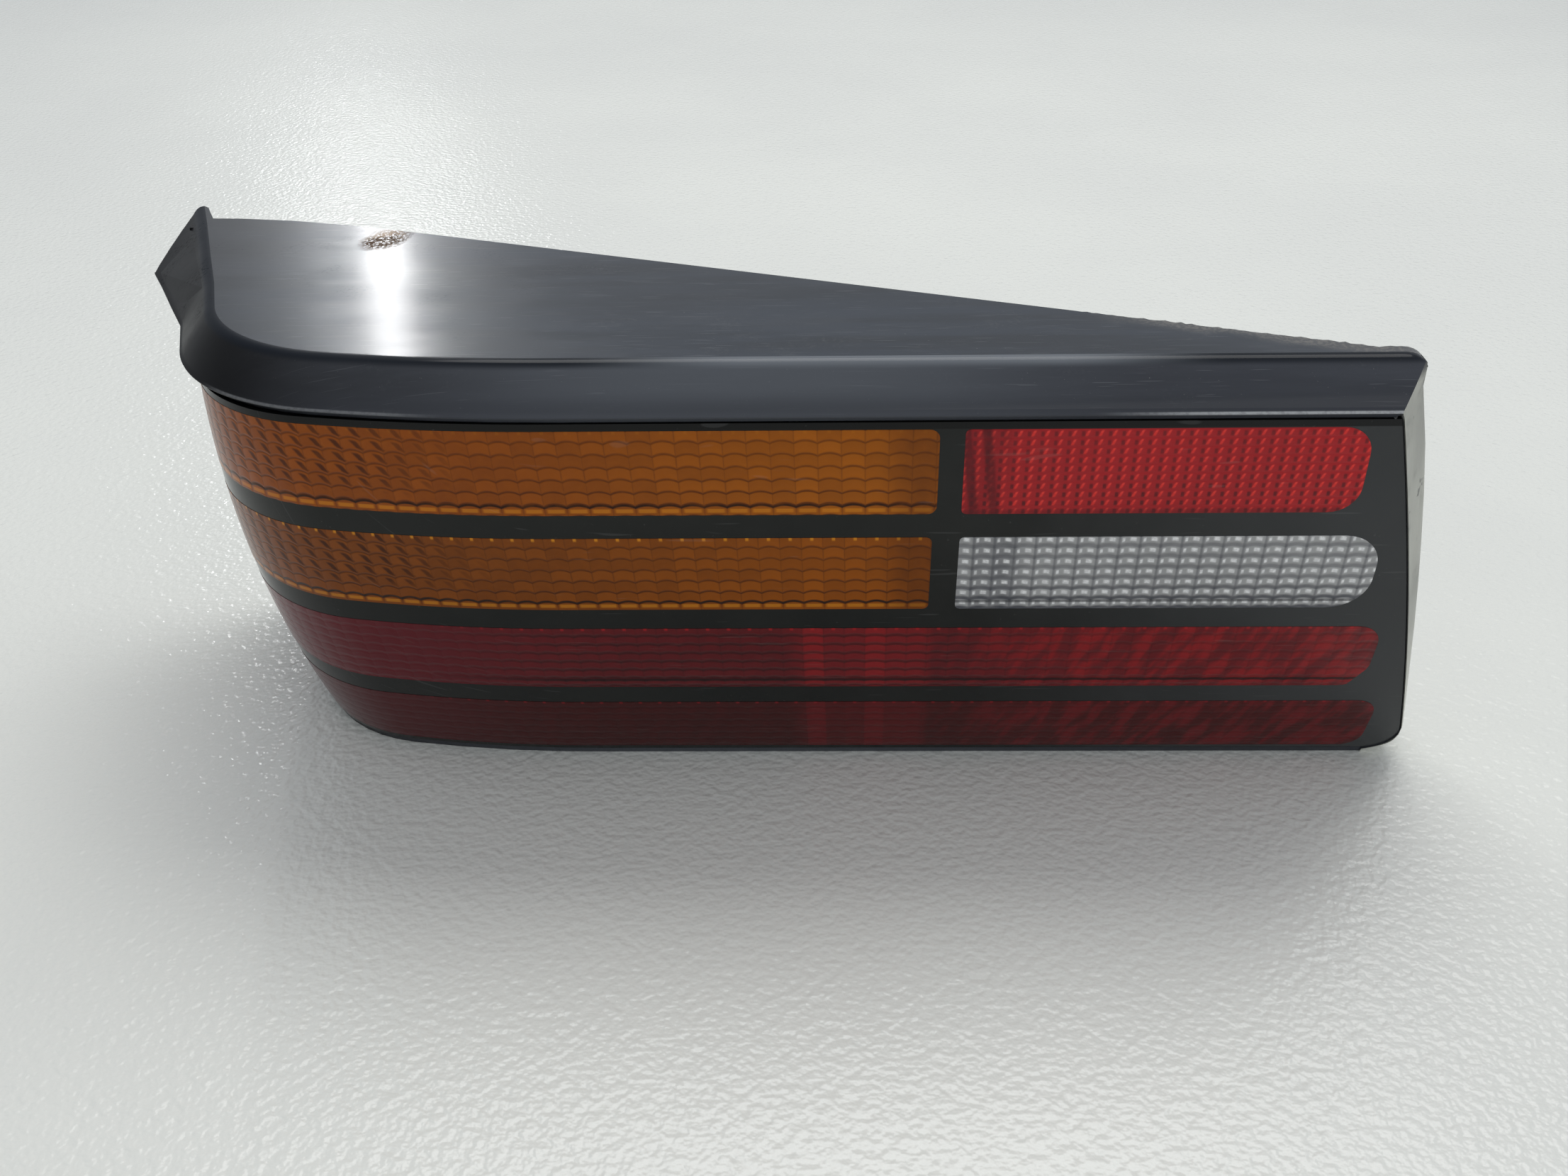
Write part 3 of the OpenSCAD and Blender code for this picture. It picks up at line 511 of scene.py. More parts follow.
def pillow_rows(t, p, base, dark, bright, left, turn, dots_by):
    """Amber rows: arched lines, with dark leaves along the corner and a scalloped groove in painted shade."""
    line = t.max(t.step(p.fv, 0.80, 0.97), t.step(p.fv, 0.10, 0.0))
    seam = t.max(t.step(p.fu, 0.93, 1.0), t.step(p.fu, 0.06, 0.0))
    low = t.step(p.v, ROW * 0.35, ROW)
    uneven = t.step(t.noise(0.83, 0.0, vector=p.cell), 0.35, 0.65)
    # along the corner each prism shows a dark leaf, slanting down to the right
    slant = t.fract(t.gain(p.fv, 0.55, p.fu))
    leaf = t.mul(t.near(slant, 0.5, 0.28, 0.10), t.near(p.fv, 0.5, 0.40, 0.18),
                 t.step(p.u, turn + 48, turn + 100), t.step(p.v, ROW * 0.86, ROW * 0.6))
    shade = t.max(t.mul(line, t.gain(low, 0.28, 0.66)), t.mul(seam, 0.40), t.mul(uneven, 0.22), leaf)
    col = t.mix(p.soft, base, scaled(base, 0.86))
    # painted light: each prism lighter towards its lower part
    col = t.lay(col, scaled(base, 1.35), t.step(p.fv, 0.15, 0.75), 0.20)
    col = t.mix(t.step(p.u, turn - 55, turn + 75), col, left)
    col = t.mix(shade, col, dark)
    # painted shade in the deep groove near the lower edge, in scallops, and painted glints under it
    groove = t.near(p.fall, t.gain(p.arch, 0.9, 2.9), 0.62, 0.18)
    col = t.lay(col, scaled(dark, 0.10), groove, 0.93)
    pick = t.step(t.noise(30.0, 1.0, vector=t.vec(p.column, 3.0)), 0.42, 0.62)
    glint = t.mul(t.near(p.fall, 1.7, 0.95, 0.45), t.near(p.su, 0.0, 0.92, 0.62), t.gain(pick, 0.6, 0.12))
    col = t.mix(glint, col, bright)
    # painted glints: bright dots along the top edge of the window, one per prism
    col = t.lay(col, bright, t.mul(t.step(p.v, 1.5, 0.6), t.near(p.su, 0.0, 0.22, 0.08)), dots_by)
    col = t.lay(col, dark, t.step(p.u, 4.0, -7.0), 0.40)
    return col, p.dome(t, line)


def fine_rows(t, p, base, dark, bright):
    """Red window: small slanting dashes with dark spots between them."""
    sv = t.gain(p.fv, 2.0, -1.0)
    slant = t.fract(t.add(t.sub(p.fu, t.mul(p.fv, 0.32)), 1.0))
    dash = t.mul(t.near(slant, 0.42, 0.17, 0.05), t.near(sv, 0.0, 0.9, 0.35))
    spot = t.mul(t.near(t.fract(t.add(p.fu, 0.5)), 0.42, 0.20, 0.06), t.near(p.fv, 0.55, 0.42, 0.14))
    low = t.step(p.v, ROW * 0.2, ROW)
    col = t.mix(p.soft, base, scaled(base, 0.82))
    col = t.mix(t.mul(spot, t.gain(low, 0.25, 0.68)), col, dark)
    col = t.lay(col, bright, dash, 0.55)
    # painted glints at the tips of the dashes
    tip = t.mul(t.near(slant, 0.42, 0.10, 0.03), t.near(p.fv, 0.30, 0.20, 0.06))
    pick = t.step(t.noise(40.0, 1.0, vector=p.cell), 0.45, 0.7)
    col = t.mix(t.mul(tip, t.gain(pick, 0.6, 0.2)), col, scaled(bright, 1.6, 0.03))
    # painted shade along the lower edge of the window
    col = t.lay(col, dark, t.step(p.fall, 2.6, 0.8), 0.55)
    # the columns next to the divider are darker, in broad stripes
    stripe = t.near(t.fract(t.div(t.gain(p.v, 0.12, p.u), 6.1)), 0.5, 0.34, 0.12)
    col = t.mix(t.mul(t.step(p.u, -37.0, -29.0), t.gain(stripe, 0.55, 0.28)), col, dark)
    return col, t.sub(1.0, t.mul(sv, sv))


def clear_rows(t, p, base, dark, bright):
    """Clear window: grey prisms with painted glints, and darker lines towards the foot."""
    line = t.max(t.step(p.fv, 0.62, 0.86), t.step(p.fv, 0.14, 0.0))
    seam = t.max(t.step(p.fu, 0.86, 0.99), t.step(p.fu, 0.10, 0.0))
    low = t.step(p.v, ROW * 0.45, ROW * 0.95)
    col = t.mix(p.soft, base, scaled(base, 0.8))
    col = t.lay(col, dark, seam, 0.5)
    col = t.mix(t.mul(line, t.gain(low, 0.45, 0.48)), col, dark)
    odd = t.step(t.noise(0.9, 0.0, vector=t.vec(p.column, 2.0)), 0.38, 0.6)
    col = t.mix(t.mul(t.step(p.u, -44.0, -36.0), t.gain(odd, 0.35, 0.12)), col, dark)
    # painted glints: two bright spots in each chosen prism
    wide_glow = t.mul(t.near(p.fu, 0.34, 0.21, 0.08), t.near(p.fv, 0.38, 0.24, 0.09))
    slim_glow = t.mul(t.near(p.fu, 0.80, 0.10, 0.03), t.near(p.fv, 0.40, 0.26, 0.08))
    fleck = t.step(t.noise(900.0, 2.0), 0.40, 0.60)
    pick = t.math("ADD", t.mul(t.noise(37.0, 1.0, vector=p.cell), 2.6), -0.45, clamp=True)
    painted_glints = t.mul(t.max(wide_glow, slim_glow), pick, t.gain(fleck, 0.35, 0.65))
    col = t.mix(painted_glints, col, bright)
    # painted shade in a groove near the lower edge
    col = t.lay(col, scaled(dark, 0.35), t.near(p.fall, 3.3, 0.85, 0.3), 0.72)
    return col, p.dome(t, line)


def wide_rows(t, p, base, dark, bright, left, turn, dim):
    """Dark red rows: plain cells, a paler block in the middle and slanted patches to the right.
    The lowest row is dim and has no groove in painted shade."""
    line = t.max(t.step(p.fv, 0.60, 0.90), t.step(p.fv, 0.12, 0.0))
    seam = t.max(t.step(p.fu, 0.90, 1.0), t.step(p.fu, 0.08, 0.0))
    block = t.mul(t.step(p.u, 34.0, 24.0), t.step(p.u, -16.0, -11.0))
    slanted = t.vec(t.gain(p.v, -0.34, p.u), t.mul(p.v, 0.28), 5.0)
    patch = t.step(t.noise(0.21, 2.5, vector=slanted), 0.40, 0.66)
    east = t.step(p.u, -6.0, -62.0)
    steps = t.step(t.noise(0.9, 0.0, vector=t.vec(p.column, 7.0)), 0.35, 0.65)
    lift = t.add(t.mul(patch, t.gain(east, 0.52, 0.06)), t.mul(block, t.gain(steps, 0.35, 0.20)),
                 t.mul(east, 0.10))
    col = t.mix(p.soft, base, scaled(base, 0.8))
    col = t.lay(col, bright, lift, 0.8 if dim else 1.0)
    weak = t.sub(1.0, t.mul(east, 0.55))
    col = t.lay(col, dark, t.mul(line, weak), 0.26 if dim else 0.62)
    col = t.lay(col, dark, seam, 0.08 if dim else 0.20)
    # painted shade in the groove near the lower edge
    if not dim:
        groove = t.near(p.fall, t.gain(p.arch, 0.35, 3.5), 0.95, 0.35)
        col = t.lay(col, scaled(dark, 0.2), groove, 0.88)
    # painted glints: bright dots along the top edge of the window, one per prism
    dots = t.mul(t.step(p.v, 1.4, 0.5), t.near(p.su, 0.0, 0.24, 0.08))
    col = t.lay(col, scaled(bright, 1.5), dots, 0.5)
    col = t.mix(t.step(p.u, turn, turn + 70), col, left)
    return col, p.dome(t, line)


def lens_colour(name, rows, px, py, bow, gloss, relief, base, dark, bright, **more):
    """Coloured lens: a smooth clear outer face over rows of prisms."""
    t = Tree(name)
    col, dome = rows(t, Prism(t, px, py, bow), base, dark, bright, **more)
    col = t.lay(col, scaled(base, 1.25), t.step(t.noise(260.0, 3.0), 0.35, 0.75), 0.10)
    col = t.lay(col, (0.5, 0.47, 0.42), scratches(t, seed=px * 0.3, keep=0.81), 0.05)
    return t.set(Base_Color=col, Normal=t.bump(dome, relief, 0.0009), Roughness=0.30,
                 Specular_IOR_Level=0.22 * gloss, Coat_Weight=0.75 * gloss,
                 Coat_Roughness=0.05, Coat_IOR=1.30)


# lens windows
DIV_L, DIV_R = 13.7, 21.2                        # ends of the amber rows and of the windows beside them
WINDOW, WINDOW_GAP = 0.08, 0.05                  # thickness of a window's sheet, and the gap above and below it


def u_at_y(z, y_end, d=0.0):
    """Arc length at which the lens face at height z reaches y_end on the side."""
    us = np.linspace(U_SIDE - 20, U_SIDE + 115, 200)
    ys = face_at(us, np.full(us.shape, z), d)[:, 1]
    return float(np.interp(y_end, ys, us))


def u_of_x(x, z):
    """Arc length on the flat face for a point x at height z."""
    us = np.linspace(-230, 110, 171)
    xs = face_at(us, np.full(us.shape, z), 0.0)[:, 0]
    return float(np.interp(-x, -xs, us))


def round_in(dz, r):
    """How far a corner of radius r pulls an end in at distance dz from its edge."""
    return 0.0 if dz >= r or r <= 0 else r - math.sqrt(max(0.0, r * r - (r - dz) ** 2))


def z_lines(z0, z1, r, n):
    """Heights from z1 down to z0, closer together near the corners."""
    out = {round(z0 + (z1 - z0) * k / n, 5) for k in range(n + 1)}
    for k in range(9):
        c = r * (1 - math.cos(math.pi / 2 * k / 8))
        out |= {round(z0 + c, 5), round(z1 - c, 5)}
    return sorted(out, reverse=True)


def window_piece(name, row, mat, right, left, r_right, r_left=0, cut=None):
    """One window as a thin closed sheet. left is None where it runs round to the side. The UV map
    holds the distance along the lens and down the window, in units of 100 mm."""
    z0, z1 = row_low(row) + WINDOW_GAP, row_top(row) - WINDOW_GAP
    n = 150 if left is None else 70
    outer, inner, uvs = [], [], []
    for z in z_lines(z0, z1, max(r_right, r_left), 14):
        dz = min(z - z0, z1 - z)
        xr = right - round_in(dz, r_right)
        ur = u_of_x(xr if cut is None else min(xr, cut(z)), z)
        if left is None:
            ul = u_at_y(z, END_Y - EDGE)
        else:
            ul = u_of_x(left + round_in(dz, r_left), z)
        us = ur + (ul - ur) * np.linspace(0, 1, n)
        outer.append(face_at(us, z, 0.0))
        inner.append(face_at(us, z, WINDOW))
        uvs += [(u / 100.0, (z1 - z) * (ROW / (z1 - z0)) / 100.0) for u in us]
    ob = mesh_piece(name, np.concatenate(outer + inner), sheet_faces(len(outer), n), mat, uvs + uvs)
    smooth_by_angle(ob, 40)
    return ob


def wide_cut(z):
    """Slanted right end of the upper dark red window."""
    z1, z0 = row_top(2), row_low(2)
    xa, xb = end_x(z1) + 5, end_x(z0) - EDGE - 6
    return xb + (xa - xb) * (z - z0) / (z1 - z0)


def foot_x(row):
    return end_x(row_low(row)) - EDGE


amber_high = lens_colour("amber_high", pillow_rows, 6.65, 4.45, 0.22, 0.5, 0.30,
                         lin(169, 91, 2), lin(78, 32, 0), lin(250, 160, 34),
                         left=lin(146, 72, 4), turn=60.0, dots_by=0.06)
amber_low = lens_colour("amber_low", pillow_rows, 6.4, 4.6, 0.22, 0.5, 0.30,
                        lin(154, 80, 2), lin(64, 26, 0), lin(250, 164, 38),
                        left=lin(128, 66, 8), turn=60.0, dots_by=0.55)
red_high = lens_colour("red_high", fine_rows, 3.95, 3.05, 0.0, 0.7, 0.30,
                       lin(182, 30, 36), lin(84, 8, 18), lin(255, 60, 48))
clear_low = lens_colour("clear", clear_rows, 6.4, 4.35, 0.16, 0.8, 0.30,
                        lin(180, 180, 180), lin(66, 68, 76), lin(255, 255, 255))
red_wide = lens_colour("red_wide", wide_rows, 6.65, 4.3, 0.14, 0.65, 0.30,
                       lin(102, 20, 26), lin(38, 6, 10), lin(168, 26, 30),
                       left=lin(92, 12, 24), turn=95.0, dim=False)
red_low = lens_colour("red_low", wide_rows, 6.65, 4.3, 0.14, 0.55, 0.12,
                      lin(70, 14, 14), lin(40, 8, 9), lin(138, 22, 30),
                      left=lin(76, 14, 20), turn=110.0, dim=True)

amber1 = window_piece("lens_amber_high", 0, amber_high, DIV_L, None, 3)
amber2 = window_piece("lens_amber_low", 1, amber_low, DIV_L - 1, None, 2)
red1 = window_piece("lens_red_high", 0, red_high, foot_x(0) - 1.3, DIV_R, 9, 1.5)
clear = window_piece("lens_clear_face", 1, clear_low, foot_x(1), DIV_R, 12, 1.5)
wide = window_piece("lens_red_wide", 2, red_wide, foot_x(2) - 0.5, None, 8, cut=wide_cut)
low = window_piece("lens_red_low", 3, red_low, foot_x(3) - 0.7, None, 7)
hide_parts("lens_amber")
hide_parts("lens_amber")
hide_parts("lens_red_upper")
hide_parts("lens_clear")
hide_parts("lens_red_lower")
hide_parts("lens_red_lower")

# black lens frame, under and round the windows
FRAME_DEPTHS = (0.10, 2.6)


def frame_piece():
    zs = z_lines(LENS_LOW, LENS_TOP, FRAME_R, 40)
    n = 170
    rows = []
    for d in FRAME_DEPTHS:
        for z in zs:
            ur = u_of_x(end_x(z) - round_in(z - LENS_LOW, FRAME_R), z)
            ul = u_at_y(z, END_Y, d)
            rows.append(face_at(ur + (ul - ur) * np.linspace(0, 1, n), z, d))
    ob = mesh_piece("lens_frame_face", np.concatenate(rows), sheet_faces(len(zs), n),
                    lens_black("lens_black"))
    smooth_by_angle(ob, 40)
    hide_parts("lens_frame")


frame_piece()

# surround: smooth skins over the moulding
GAP = 0.3
BAND_Z = LENS_TOP + GAP + WALL - 0.1             # lower edge of the band
TOP = BAND_Z + BAND_H
MITRE, CORNER_ROUND, CORNER_IN = 8.0, 8.0, 5.45
CORNER_X = end_x(BAND_Z) + GAP
MITRE_X = CORNER_X + MITRE
TAB_Y, TAB_RUN, TAB_CUT, TAB_OUT = 59, 17.1, 30.0, 2.5
SIDE_T = (TAB_Y + RIDGE_Y - CORNER_C[1] + CORNER_R * math.cos(SIDE_A)) / math.sin(SIDE_A)
TAB_END = SIDE_T + TAB_RUN
SKIN = 0.16                                      # how far the skins stand off the solid
RIDGE_ROUND = 2.1
BAND_SWELL = np.array([0.777, 0.629]) * 0.22     # how far the slope of the band swells, and which way
STRAIGHT_X, SIDE_START = 141, 22                 # where the band is straight, and where its ear begins


def band_profile(ridge, out):
    """Points down the band from just inside the top edge: flat, rounded ridge, slope and lip."""
    run = np.array([out - ridge, -BAND_H])
    run /= np.linalg.norm(run)
    a, b = np.array([ridge - RIDGE_ROUND, TOP]), np.array([ridge, TOP])
    c = b + RIDGE_ROUND * run
    p = [(ridge - RIDGE_ROUND - 0.5, TOP), tuple(a)]
    p += [tuple(q) for q in slope_points(a, b, c, [k / 8 for k in range(1, 9)])]
    low = np.array([out, BAND_Z])
    for s in (0.3, 0.6, 0.9, 1.0):
        p.append(tuple(c + (low - c) * s + BAND_SWELL * math.sin(math.pi * s)))
    p += [(out + 0.34, BAND_Z - 0.10), (out + 0.40, BAND_Z - 0.30), (out + 0.28, BAND_Z - 0.66),
          (out - 0.12, BAND_Z - 0.86)]
    return [(o + SKIN * 0.6, z + (SKIN if z > BAND_Z + 1 else 0)) for o, z in p]


def off_corner(p):
    """Keeps a point of a skin on the round of the top right corner."""
    cx, cz = MITRE_X - CORNER_IN, TOP - CORNER_ROUND
    dx, dz = p[0] - cx, p[2] - cz
    r = math.hypot(dx, dz)
    if dx <= 0 or dz <= 0 or r <= CORNER_ROUND + SKIN:
        return p
    k = (CORNER_ROUND + SKIN) / r
    return (cx + dx * k, p[1], cz + dz * k)


def band_skin(mat):
    """Band from the mitre on the right, round the corner, to the end of the ear. Returns its top line."""
    line, side = band_profile(0, BAND_RUN), band_profile(TAB_OUT, BAND_RUN + EAR)
    rows = []
    # from the mitre to the straight part
    for f in np.linspace(0, 1, 9)[:-1]:
        rows.append([((1 - f) * (CORNER_X + MITRE * (z - BAND_Z) / BAND_H) + f * STRAIGHT_X, -o - RIDGE_Y, z)
                     for o, z in line])
    # along the face and round the corner
    us = [*np.linspace(-STRAIGHT_X, BEND_X, 24), *np.linspace(BEND_X, U_BEND, 18)[1:],
          *np.linspace(U_BEND, U_SIDE, 44)[1:], U_SIDE + SIDE_START / 2, U_SIDE + SIDE_START]
    for u in us:
        rows.append([(*p, z) for p, z in ((np.array(plan(u, o)) - (0, RIDGE_Y), z) for o, z in line)])
    # out to the ear, a little further off the solid towards its end
    for f in np.linspace(0, 1, 26)[1:]:
        off = 0.22 * min(1, 3 * f) + 0.30 * max(0, 4 * f - 3)
        row = []
        for (o0, z), (o1, _) in zip(line, side):
            t = SIDE_START + f * (TAB_END - (TOP - z) / BAND_H * TAB_CUT - SIDE_START)
            x, y = plan(U_SIDE + t, o0 + f * (o1 - o0) + off)
            row.append((x, y - RIDGE_Y, z))
        rows.append(row)
    rows = [[off_corner(p) for p in r] for r in rows]
    mesh_piece("surround_band", [p for r in rows for p in r], grid_faces(len(rows), len(line), flip=True),
               mat)
    return [r[0] for r in rows]


def back_edge():
    """Far edge of the flat top, from the tab to the boot corner."""
    out = []
    for t, o in ((-2.5, -1), (-16.3, -2.3), (-20.1, -12.1), (-29.5, -30.5), (-43.6, -52.2), (-61.1, -74.8)):
        x, y = plan(U_SIDE + TAB_END + t, o)
        out.append((float(x), float(y) - RIDGE_Y))
    return out + [(MITRE_X - 12.3, 6.3 - RIDGE_Y), (MITRE_X - 5.6, 6.7 - RIDGE_Y),
                  (MITRE_X + 2.0, 6.7 - RIDGE_Y)]


RAGGED_FROM, RAGGED_BY, RAGGED_STEP, RAGGED_WAY = 58, 1.15, 1.6, (0.334, 0.943)
TOP_SKIRT = 1.1


def top_skin(ridge, mat):
    """Flat top between the band and the far edge, which is ragged towards its right end."""
    rng = random.Random(7)
    edge = back_edge()
    fine = [edge[0]]
    for (xa, ya), (xb, yb) in zip(edge, edge[1:]):
        m = max(1, int(math.hypot(xb - xa, yb - ya) / RAGGED_STEP))
        fine += [(xa + (xb - xa) * k / m, ya + (yb - ya) * k / m) for k in range(1, m + 1)]
    ragged = []
    for x, y in fine:
        if RAGGED_FROM < x < MITRE_X - 8:
            d = (rng.random() ** 2 - 0.15) * RAGGED_BY
            x, y = x + RAGGED_WAY[0] * d, y + RAGGED_WAY[1] * d
        ragged.append((x, y))
    verts = list(ridge) + [off_corner((x, y, TOP + SKIN)) for x, y in ragged]
    verts += [(x, y, z - TOP_SKIRT) for x, y, z in verts[len(ridge):]]
    n, m = len(ridge), len(ragged)
    bm = bmesh.new()
    vs = [bm.verts.new(Vector(v) * MM) for v in verts]
    f = bm.faces.new(vs[:n + m])
    bmesh.ops.triangulate(bm, faces=[f], ngon_method="BEAUTY")
    for i in range(n, n + m - 1):
        bm.faces.new((vs[i], vs[i + m], vs[i + m + 1], vs[i + 1]))
    bmesh.ops.recalc_face_normals(bm, faces=bm.faces)
    me = bpy.data.meshes.new("surround_top")
    bm.to_mesh(me)
    bm.free()
    up = [p for p in me.polygons if abs(p.normal.z) > 0.9]
    if up and up[0].normal.z < 0:
        me.flip_normals()
    link("surround_top", me, mat)


FOOT_Z = LENS_LOW + FRAME_R
FOOT_R = FRAME_R + GAP
SLOPE_LENGTH = math.sqrt(1 + END_SLOPE ** 2)
FOOT_X = end_x(FOOT_Z) + GAP - FOOT_R * SLOPE_LENGTH
TURN_Z = FOOT_Z + FOOT_R * END_SLOPE / SLOPE_LENGTH     # above it the wall is straight
H_GRID = np.linspace(-128, 108, 119)
FACE_LINE = face(0.0, H_GRID, 0.0)
WALL_END, WALL_TIP = -28.0, 1.1
TAPER_MID, TAPER_RATE = 0.56, 0.747              # share of the flare at mid height, and its growth upward
SWEEP_OUT, SWEEP_LESS = 2.13, 0.55


def taper(z):
    """How far the wall flares at height z."""
    return max(0.0, min(FLARE + 1, FLARE * (TAPER_MID + TAPER_RATE * z / HALF)))


def round_x(z, r):
    return FOOT_X + math.sqrt(max(0.0, r * r - (z - FOOT_Z) ** 2))


def inner_x(z):
    return end_x(z) + GAP if z > TURN_Z else round_x(z, FOOT_R)


def outer_x(z):
    return end_x(z) + GAP + max(WALL, taper(z)) if z > TURN_Z else round_x(z, FOOT_R + WALL)


def sweep(z):
    """How far back the flare runs at height z."""
    return SWEEP_OUT * min(max(WALL, taper(z)), outer_x(z) - inner_x(z)) - SWEEP_LESS * taper(z)


def face_y(z):
    """How far back the lens face is, at height z, where it is straight."""
    h = float(np.interp(z, FACE_LINE[:, 2], H_GRID))
    return float(face(0.0, h, 0.0)[1])


def end_skin(mat):
    """Flared right-hand wall, from the lens edge round a soft corner and straight forward."""
    low = LENS_LOW - WALL
    zs = [TOP - k for k in (WALL_TIP, 2, 3, 4.2, 6, 8, 10.5)] + [BAND_Z, *np.linspace(LENS_TOP, TURN_Z, 34)]
    zs += [FOOT_Z - (FOOT_Z - low) * math.sin(math.pi / 2 * k / 12) for k in range(1, 13)]
    off = SKIN + 0.05
    rows = []
    for z in zs:
        if z > BAND_Z - 0.01:
            # beside the band the wall draws in to the mitre
            s = (z - BAND_Z) / (TOP - WALL_TIP - BAND_Z)
            x0, y0 = CORNER_X - 0.4 + s * (MITRE_X - CORNER_X), -RIDGE_Y - BAND_RUN + 0.3 + s * BAND_RUN
            w = (max(WALL, taper(BAND_Z)) + 0.4) * (1 - s) + 1.6 * s
            d = (sweep(LENS_TOP) - 0.3) * (1 - s) + 1.4 * s
        else:
            x0, y0, w, d = inner_x(z), face_y(z) - 0.4, outer_x(z) - inner_x(z), sweep(z)
        front = min(WALL_END, -RIDGE_Y + 3 + (TOP - z) * 2.2)
        a, b = np.array([x0, y0]), np.array([x0 + w, y0 + d])
        c = np.array([x0 + w, max(front, y0 + d + 0.6)])
        e = min(3.2, 0.42 * math.hypot(w, d))
        p = b - (b - a) / np.linalg.norm(b - a) * e
        q = b + (c - b) / np.linalg.norm(c - b) * min(e, 0.8 * np.linalg.norm(c - b))
        pts = [a, a + (p - a) * 0.5, p, *slope_points(p, b, q, (0.17, 0.33, 0.5, 0.67, 0.83, 1.0)), c]
        rows.append([off_corner((x + off, y - off * 0.5, z)) for x, y in pts])
    mesh_piece("surround_end_wall", [p for r in rows for p in r], grid_faces(len(rows), len(rows[0])), mat)


band_mat = black_shell("shell_band", BAND_LOOK, band_details)
wall_mat = pale_wall("end_wall_plastic")
ridge_line = band_skin(band_mat)
top_skin(ridge_line, black_shell("shell_top", TOP_LOOK, top_details))
end_skin(wall_mat)

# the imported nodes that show
clear_glass = glass("bulb_clear", (0.92, 0.93, 0.94))
amber_glass = glass("bulb_amber", (0.95, 0.5, 0.12))
finish = {
    "surround": band_mat,
    "lens_seal": plastic("sealant_black", (0.018, 0.018, 0.018), 0.6, 0.2, 0.3, 220.0),
    "lamp_body": plastic("body_pale", lin(196, 195, 188), 0.42, 0.06, 0.10, 260.0, 0.25),
    "body_gasket": plastic("foam_grey", (0.035, 0.035, 0.037), 0.85, 0.25, 0.55, 900.0),
    "fixing_studs": metal("stud_zinc", (0.62, 0.58, 0.47), 0.34, (1, 14, 1)),
    "bulb_carrier": plastic("carrier_ivory", lin(208, 204, 190), 0.45, 0.05, 0.10, 300.0, 0.2),
    "carrier_seal": plastic("foam_black", (0.02, 0.02, 0.021), 0.85, 0.25, 0.5, 900.0),
    "carrier_latches": metal("spring_plain", (0.55, 0.56, 0.58), 0.26, (14, 1, 1)),
    "bulb_sockets": metal("sleeve_tinned", (0.66, 0.63, 0.52), 0.3, (1, 12, 1)),
    "ground_strip": metal("strip_brass", (0.66, 0.49, 0.22), 0.3, (12, 1, 1)),
    "feed_strips": metal("strip_spring", (0.70, 0.55, 0.28), 0.28, (12, 1, 1)),
    "connector_shell": plastic("connector_dark", (0.055, 0.057, 0.06), 0.48, 0.15, 0.15, 500.0, 0.2),
    "connector_pins": metal("pin_tinned", (0.78, 0.75, 0.62), 0.22, (1, 12, 1)),
    "vent_caps": plastic("cap_rubber_black", (0.022, 0.023, 0.025), 0.6, 0.2, 0.2, 500.0),
    "indicator_bulb": amber_glass,
    "brake_bulb": clear_glass,
    "reversing_bulb": clear_glass,
    "tail_bulb": clear_glass,
    "fog_bulb": clear_glass,
}
for k, mat in finish.items():
    nodes[k].data.materials.append(mat)
    smooth_by_angle(nodes[k], 30)
# the moulding's own right-hand wall is as pale as the skin over it
PALE_FROM_X, PALE_BELOW_Z = 0.138, 0.082
wall_mesh = nodes["surround"].data
wall_mesh.materials.append(wall_mat)
for poly in wall_mesh.polygons:
    if poly.center.x > PALE_FROM_X and poly.center.z < PALE_BELOW_Z and poly.normal.x > 0.1:
        poly.material_index = 1

# floor, world, lights and camera
FLOOR_Z, FLOOR_HALF = -0.0735, 6
t = Tree("floor_pale")
floor_col = t.mix(t.step(t.noise(3.0, 4.0), 0.3, 0.7), lin(228, 229, 224), lin(234, 235, 229))
t.set(Base_Color=floor_col, Normal=t.bump(t.noise(300.0, 1.5), 0.38, 0.0020), Roughness=0.24,
      Specular_IOR_Level=0.5)
floor = bpy.data.objects.new("floor", bpy.data.meshes.new("floor"))
corners = [(x * FLOOR_HALF, y * FLOOR_HALF, FLOOR_Z) for x, y in ((-1, -1), (1, -1), (1, 1), (-1, 1))]
floor.data.from_pydata(corners, [], [(0, 1, 2, 3)])
floor.data.materials.append(t.mat)
bpy.context.scene.collection.objects.link(floor)

world = bpy.data.worlds.new("studio")
world.use_nodes = True
background = world.node_tree.nodes["Background"]
background.inputs["Color"].default_value = (0.86, 0.90, 0.95, 1)
background.inputs["Strength"].default_value = 0.55
bpy.context.scene.world = world


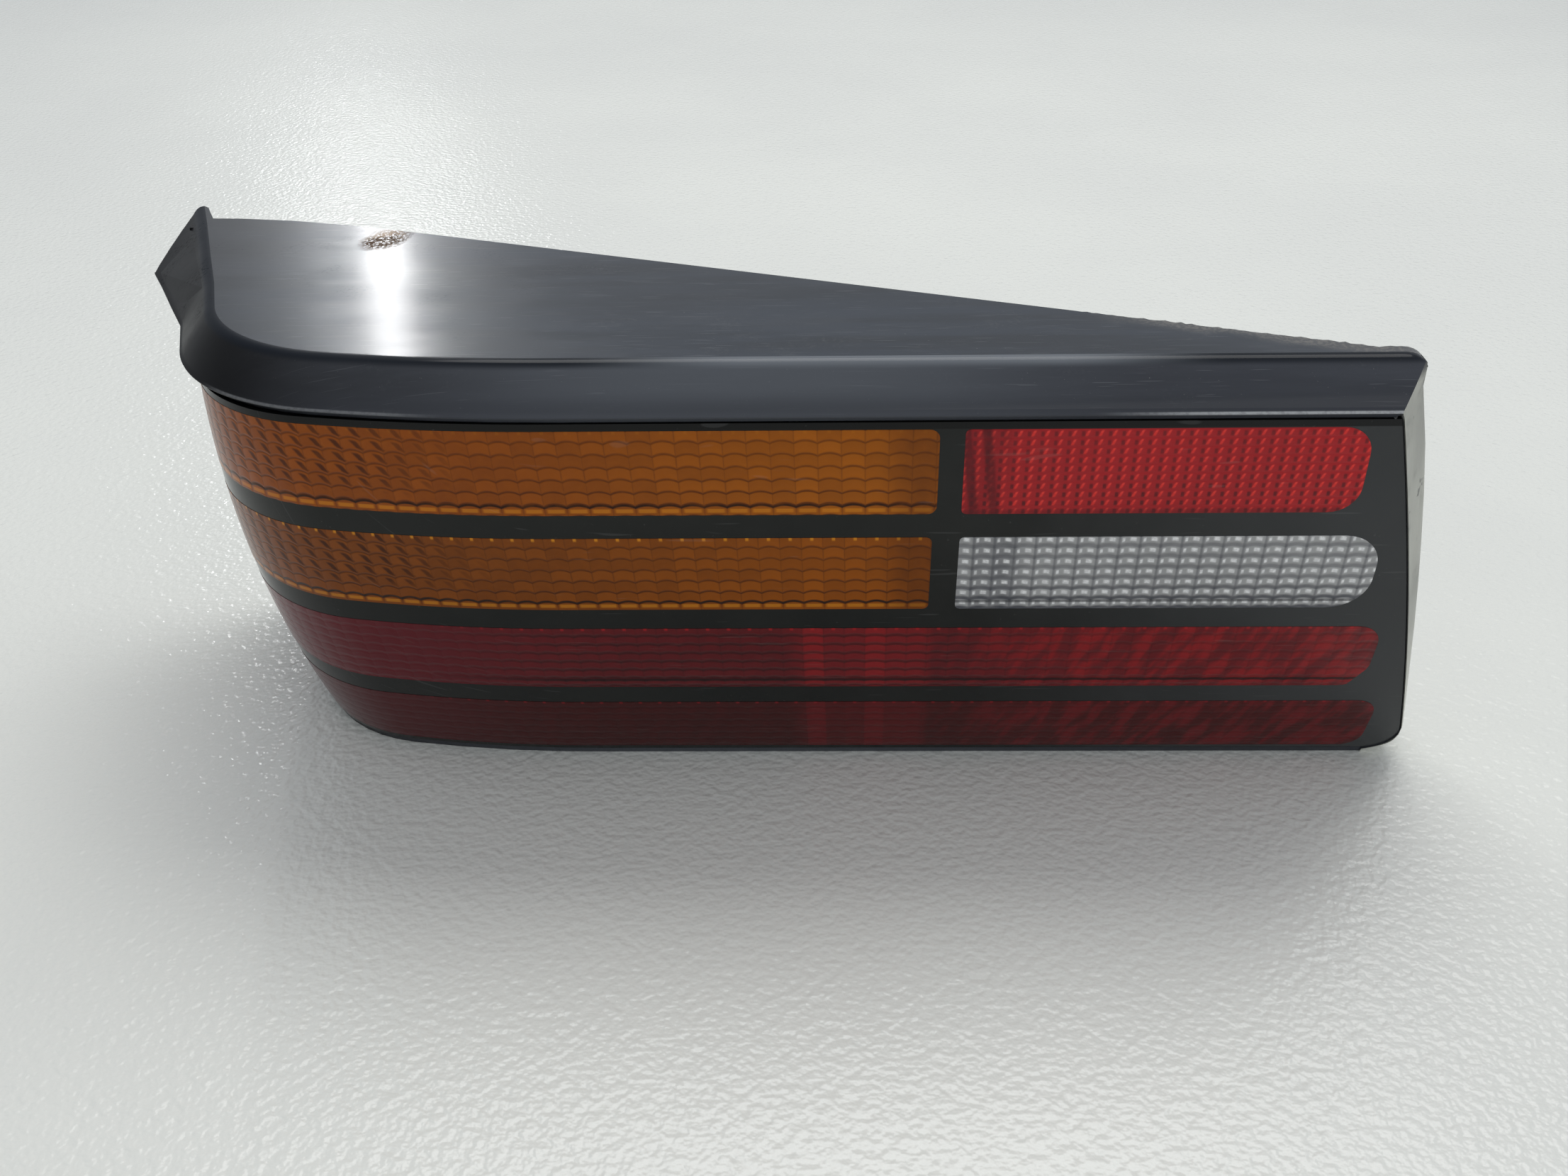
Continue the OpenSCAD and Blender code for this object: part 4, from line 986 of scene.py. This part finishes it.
def area(name, at, look, size, power, colour, tilt=0.0):
    data = bpy.data.lights.new(name, "AREA")
    data.shape = "RECTANGLE"
    data.size, data.size_y = size
    data.energy = power
    data.color = colour
    ob = bpy.data.objects.new(name, data)
    bpy.context.scene.collection.objects.link(ob)
    ob.location = at
    aim = (Vector(look) - Vector(at)).to_track_quat("-Z", "Y").to_matrix()
    ob.rotation_euler = (aim @ Matrix.Rotation(math.radians(tilt), 3, "Z")).to_euler()


# two soft lamps, and a narrow one with its halo that the glossy top mirrors as a streak
STREAK_AT = (-0.16, -0.01, 0.089)
area("soft_top", (0.15, 0.9, 2.0), (0, 0, 0), (1.8, 1.3), 25, (1.0, 0.99, 0.97))
area("soft_front", (0.7, -1.9, 1.4), (0, 0, 0), (1.6, 1.0), 5, (0.97, 0.98, 1.0))
area("strip", (-0.947, 2.70, 1.115), STREAK_AT, (0.074, 0.46), 3.0, (1, 1, 1), -4)
area("strip_halo", (-1.00, 2.67, 1.115), STREAK_AT, (0.20, 0.50), 0.62, (0.90, 0.95, 1.0), -5)

# camera fitted to the photograph
PHOTO_WIDTH, FOCAL = 2212, 2240                  # pixels
CAMERA_AT = (-0.0210, -0.5081, 0.2732)
down, yaw, roll = math.radians(31.22), math.radians(1.6355), math.radians(-1.0736)
cam_data = bpy.data.cameras.new("camera")
cam_data.sensor_fit = "HORIZONTAL"
cam_data.sensor_width = 36.0
cam_data.lens = FOCAL / PHOTO_WIDTH * cam_data.sensor_width
cam_data.clip_start = 0.01
cam = bpy.data.objects.new("camera", cam_data)
bpy.context.scene.collection.objects.link(cam)
turn = Matrix.Rotation(yaw, 3, "Z")
forward = turn @ Vector((0, math.cos(down), -math.sin(down)))
right = turn @ Vector((1, 0, 0))
up = turn @ Vector((0, math.sin(down), math.cos(down)))
pose = Matrix((math.cos(roll) * right + math.sin(roll) * up,
               math.cos(roll) * up - math.sin(roll) * right, -forward)).transposed().to_4x4()
pose.translation = Vector(CAMERA_AT)
cam.matrix_world = pose
bpy.context.scene.camera = cam
bpy.context.scene.view_settings.view_transform = "Standard"
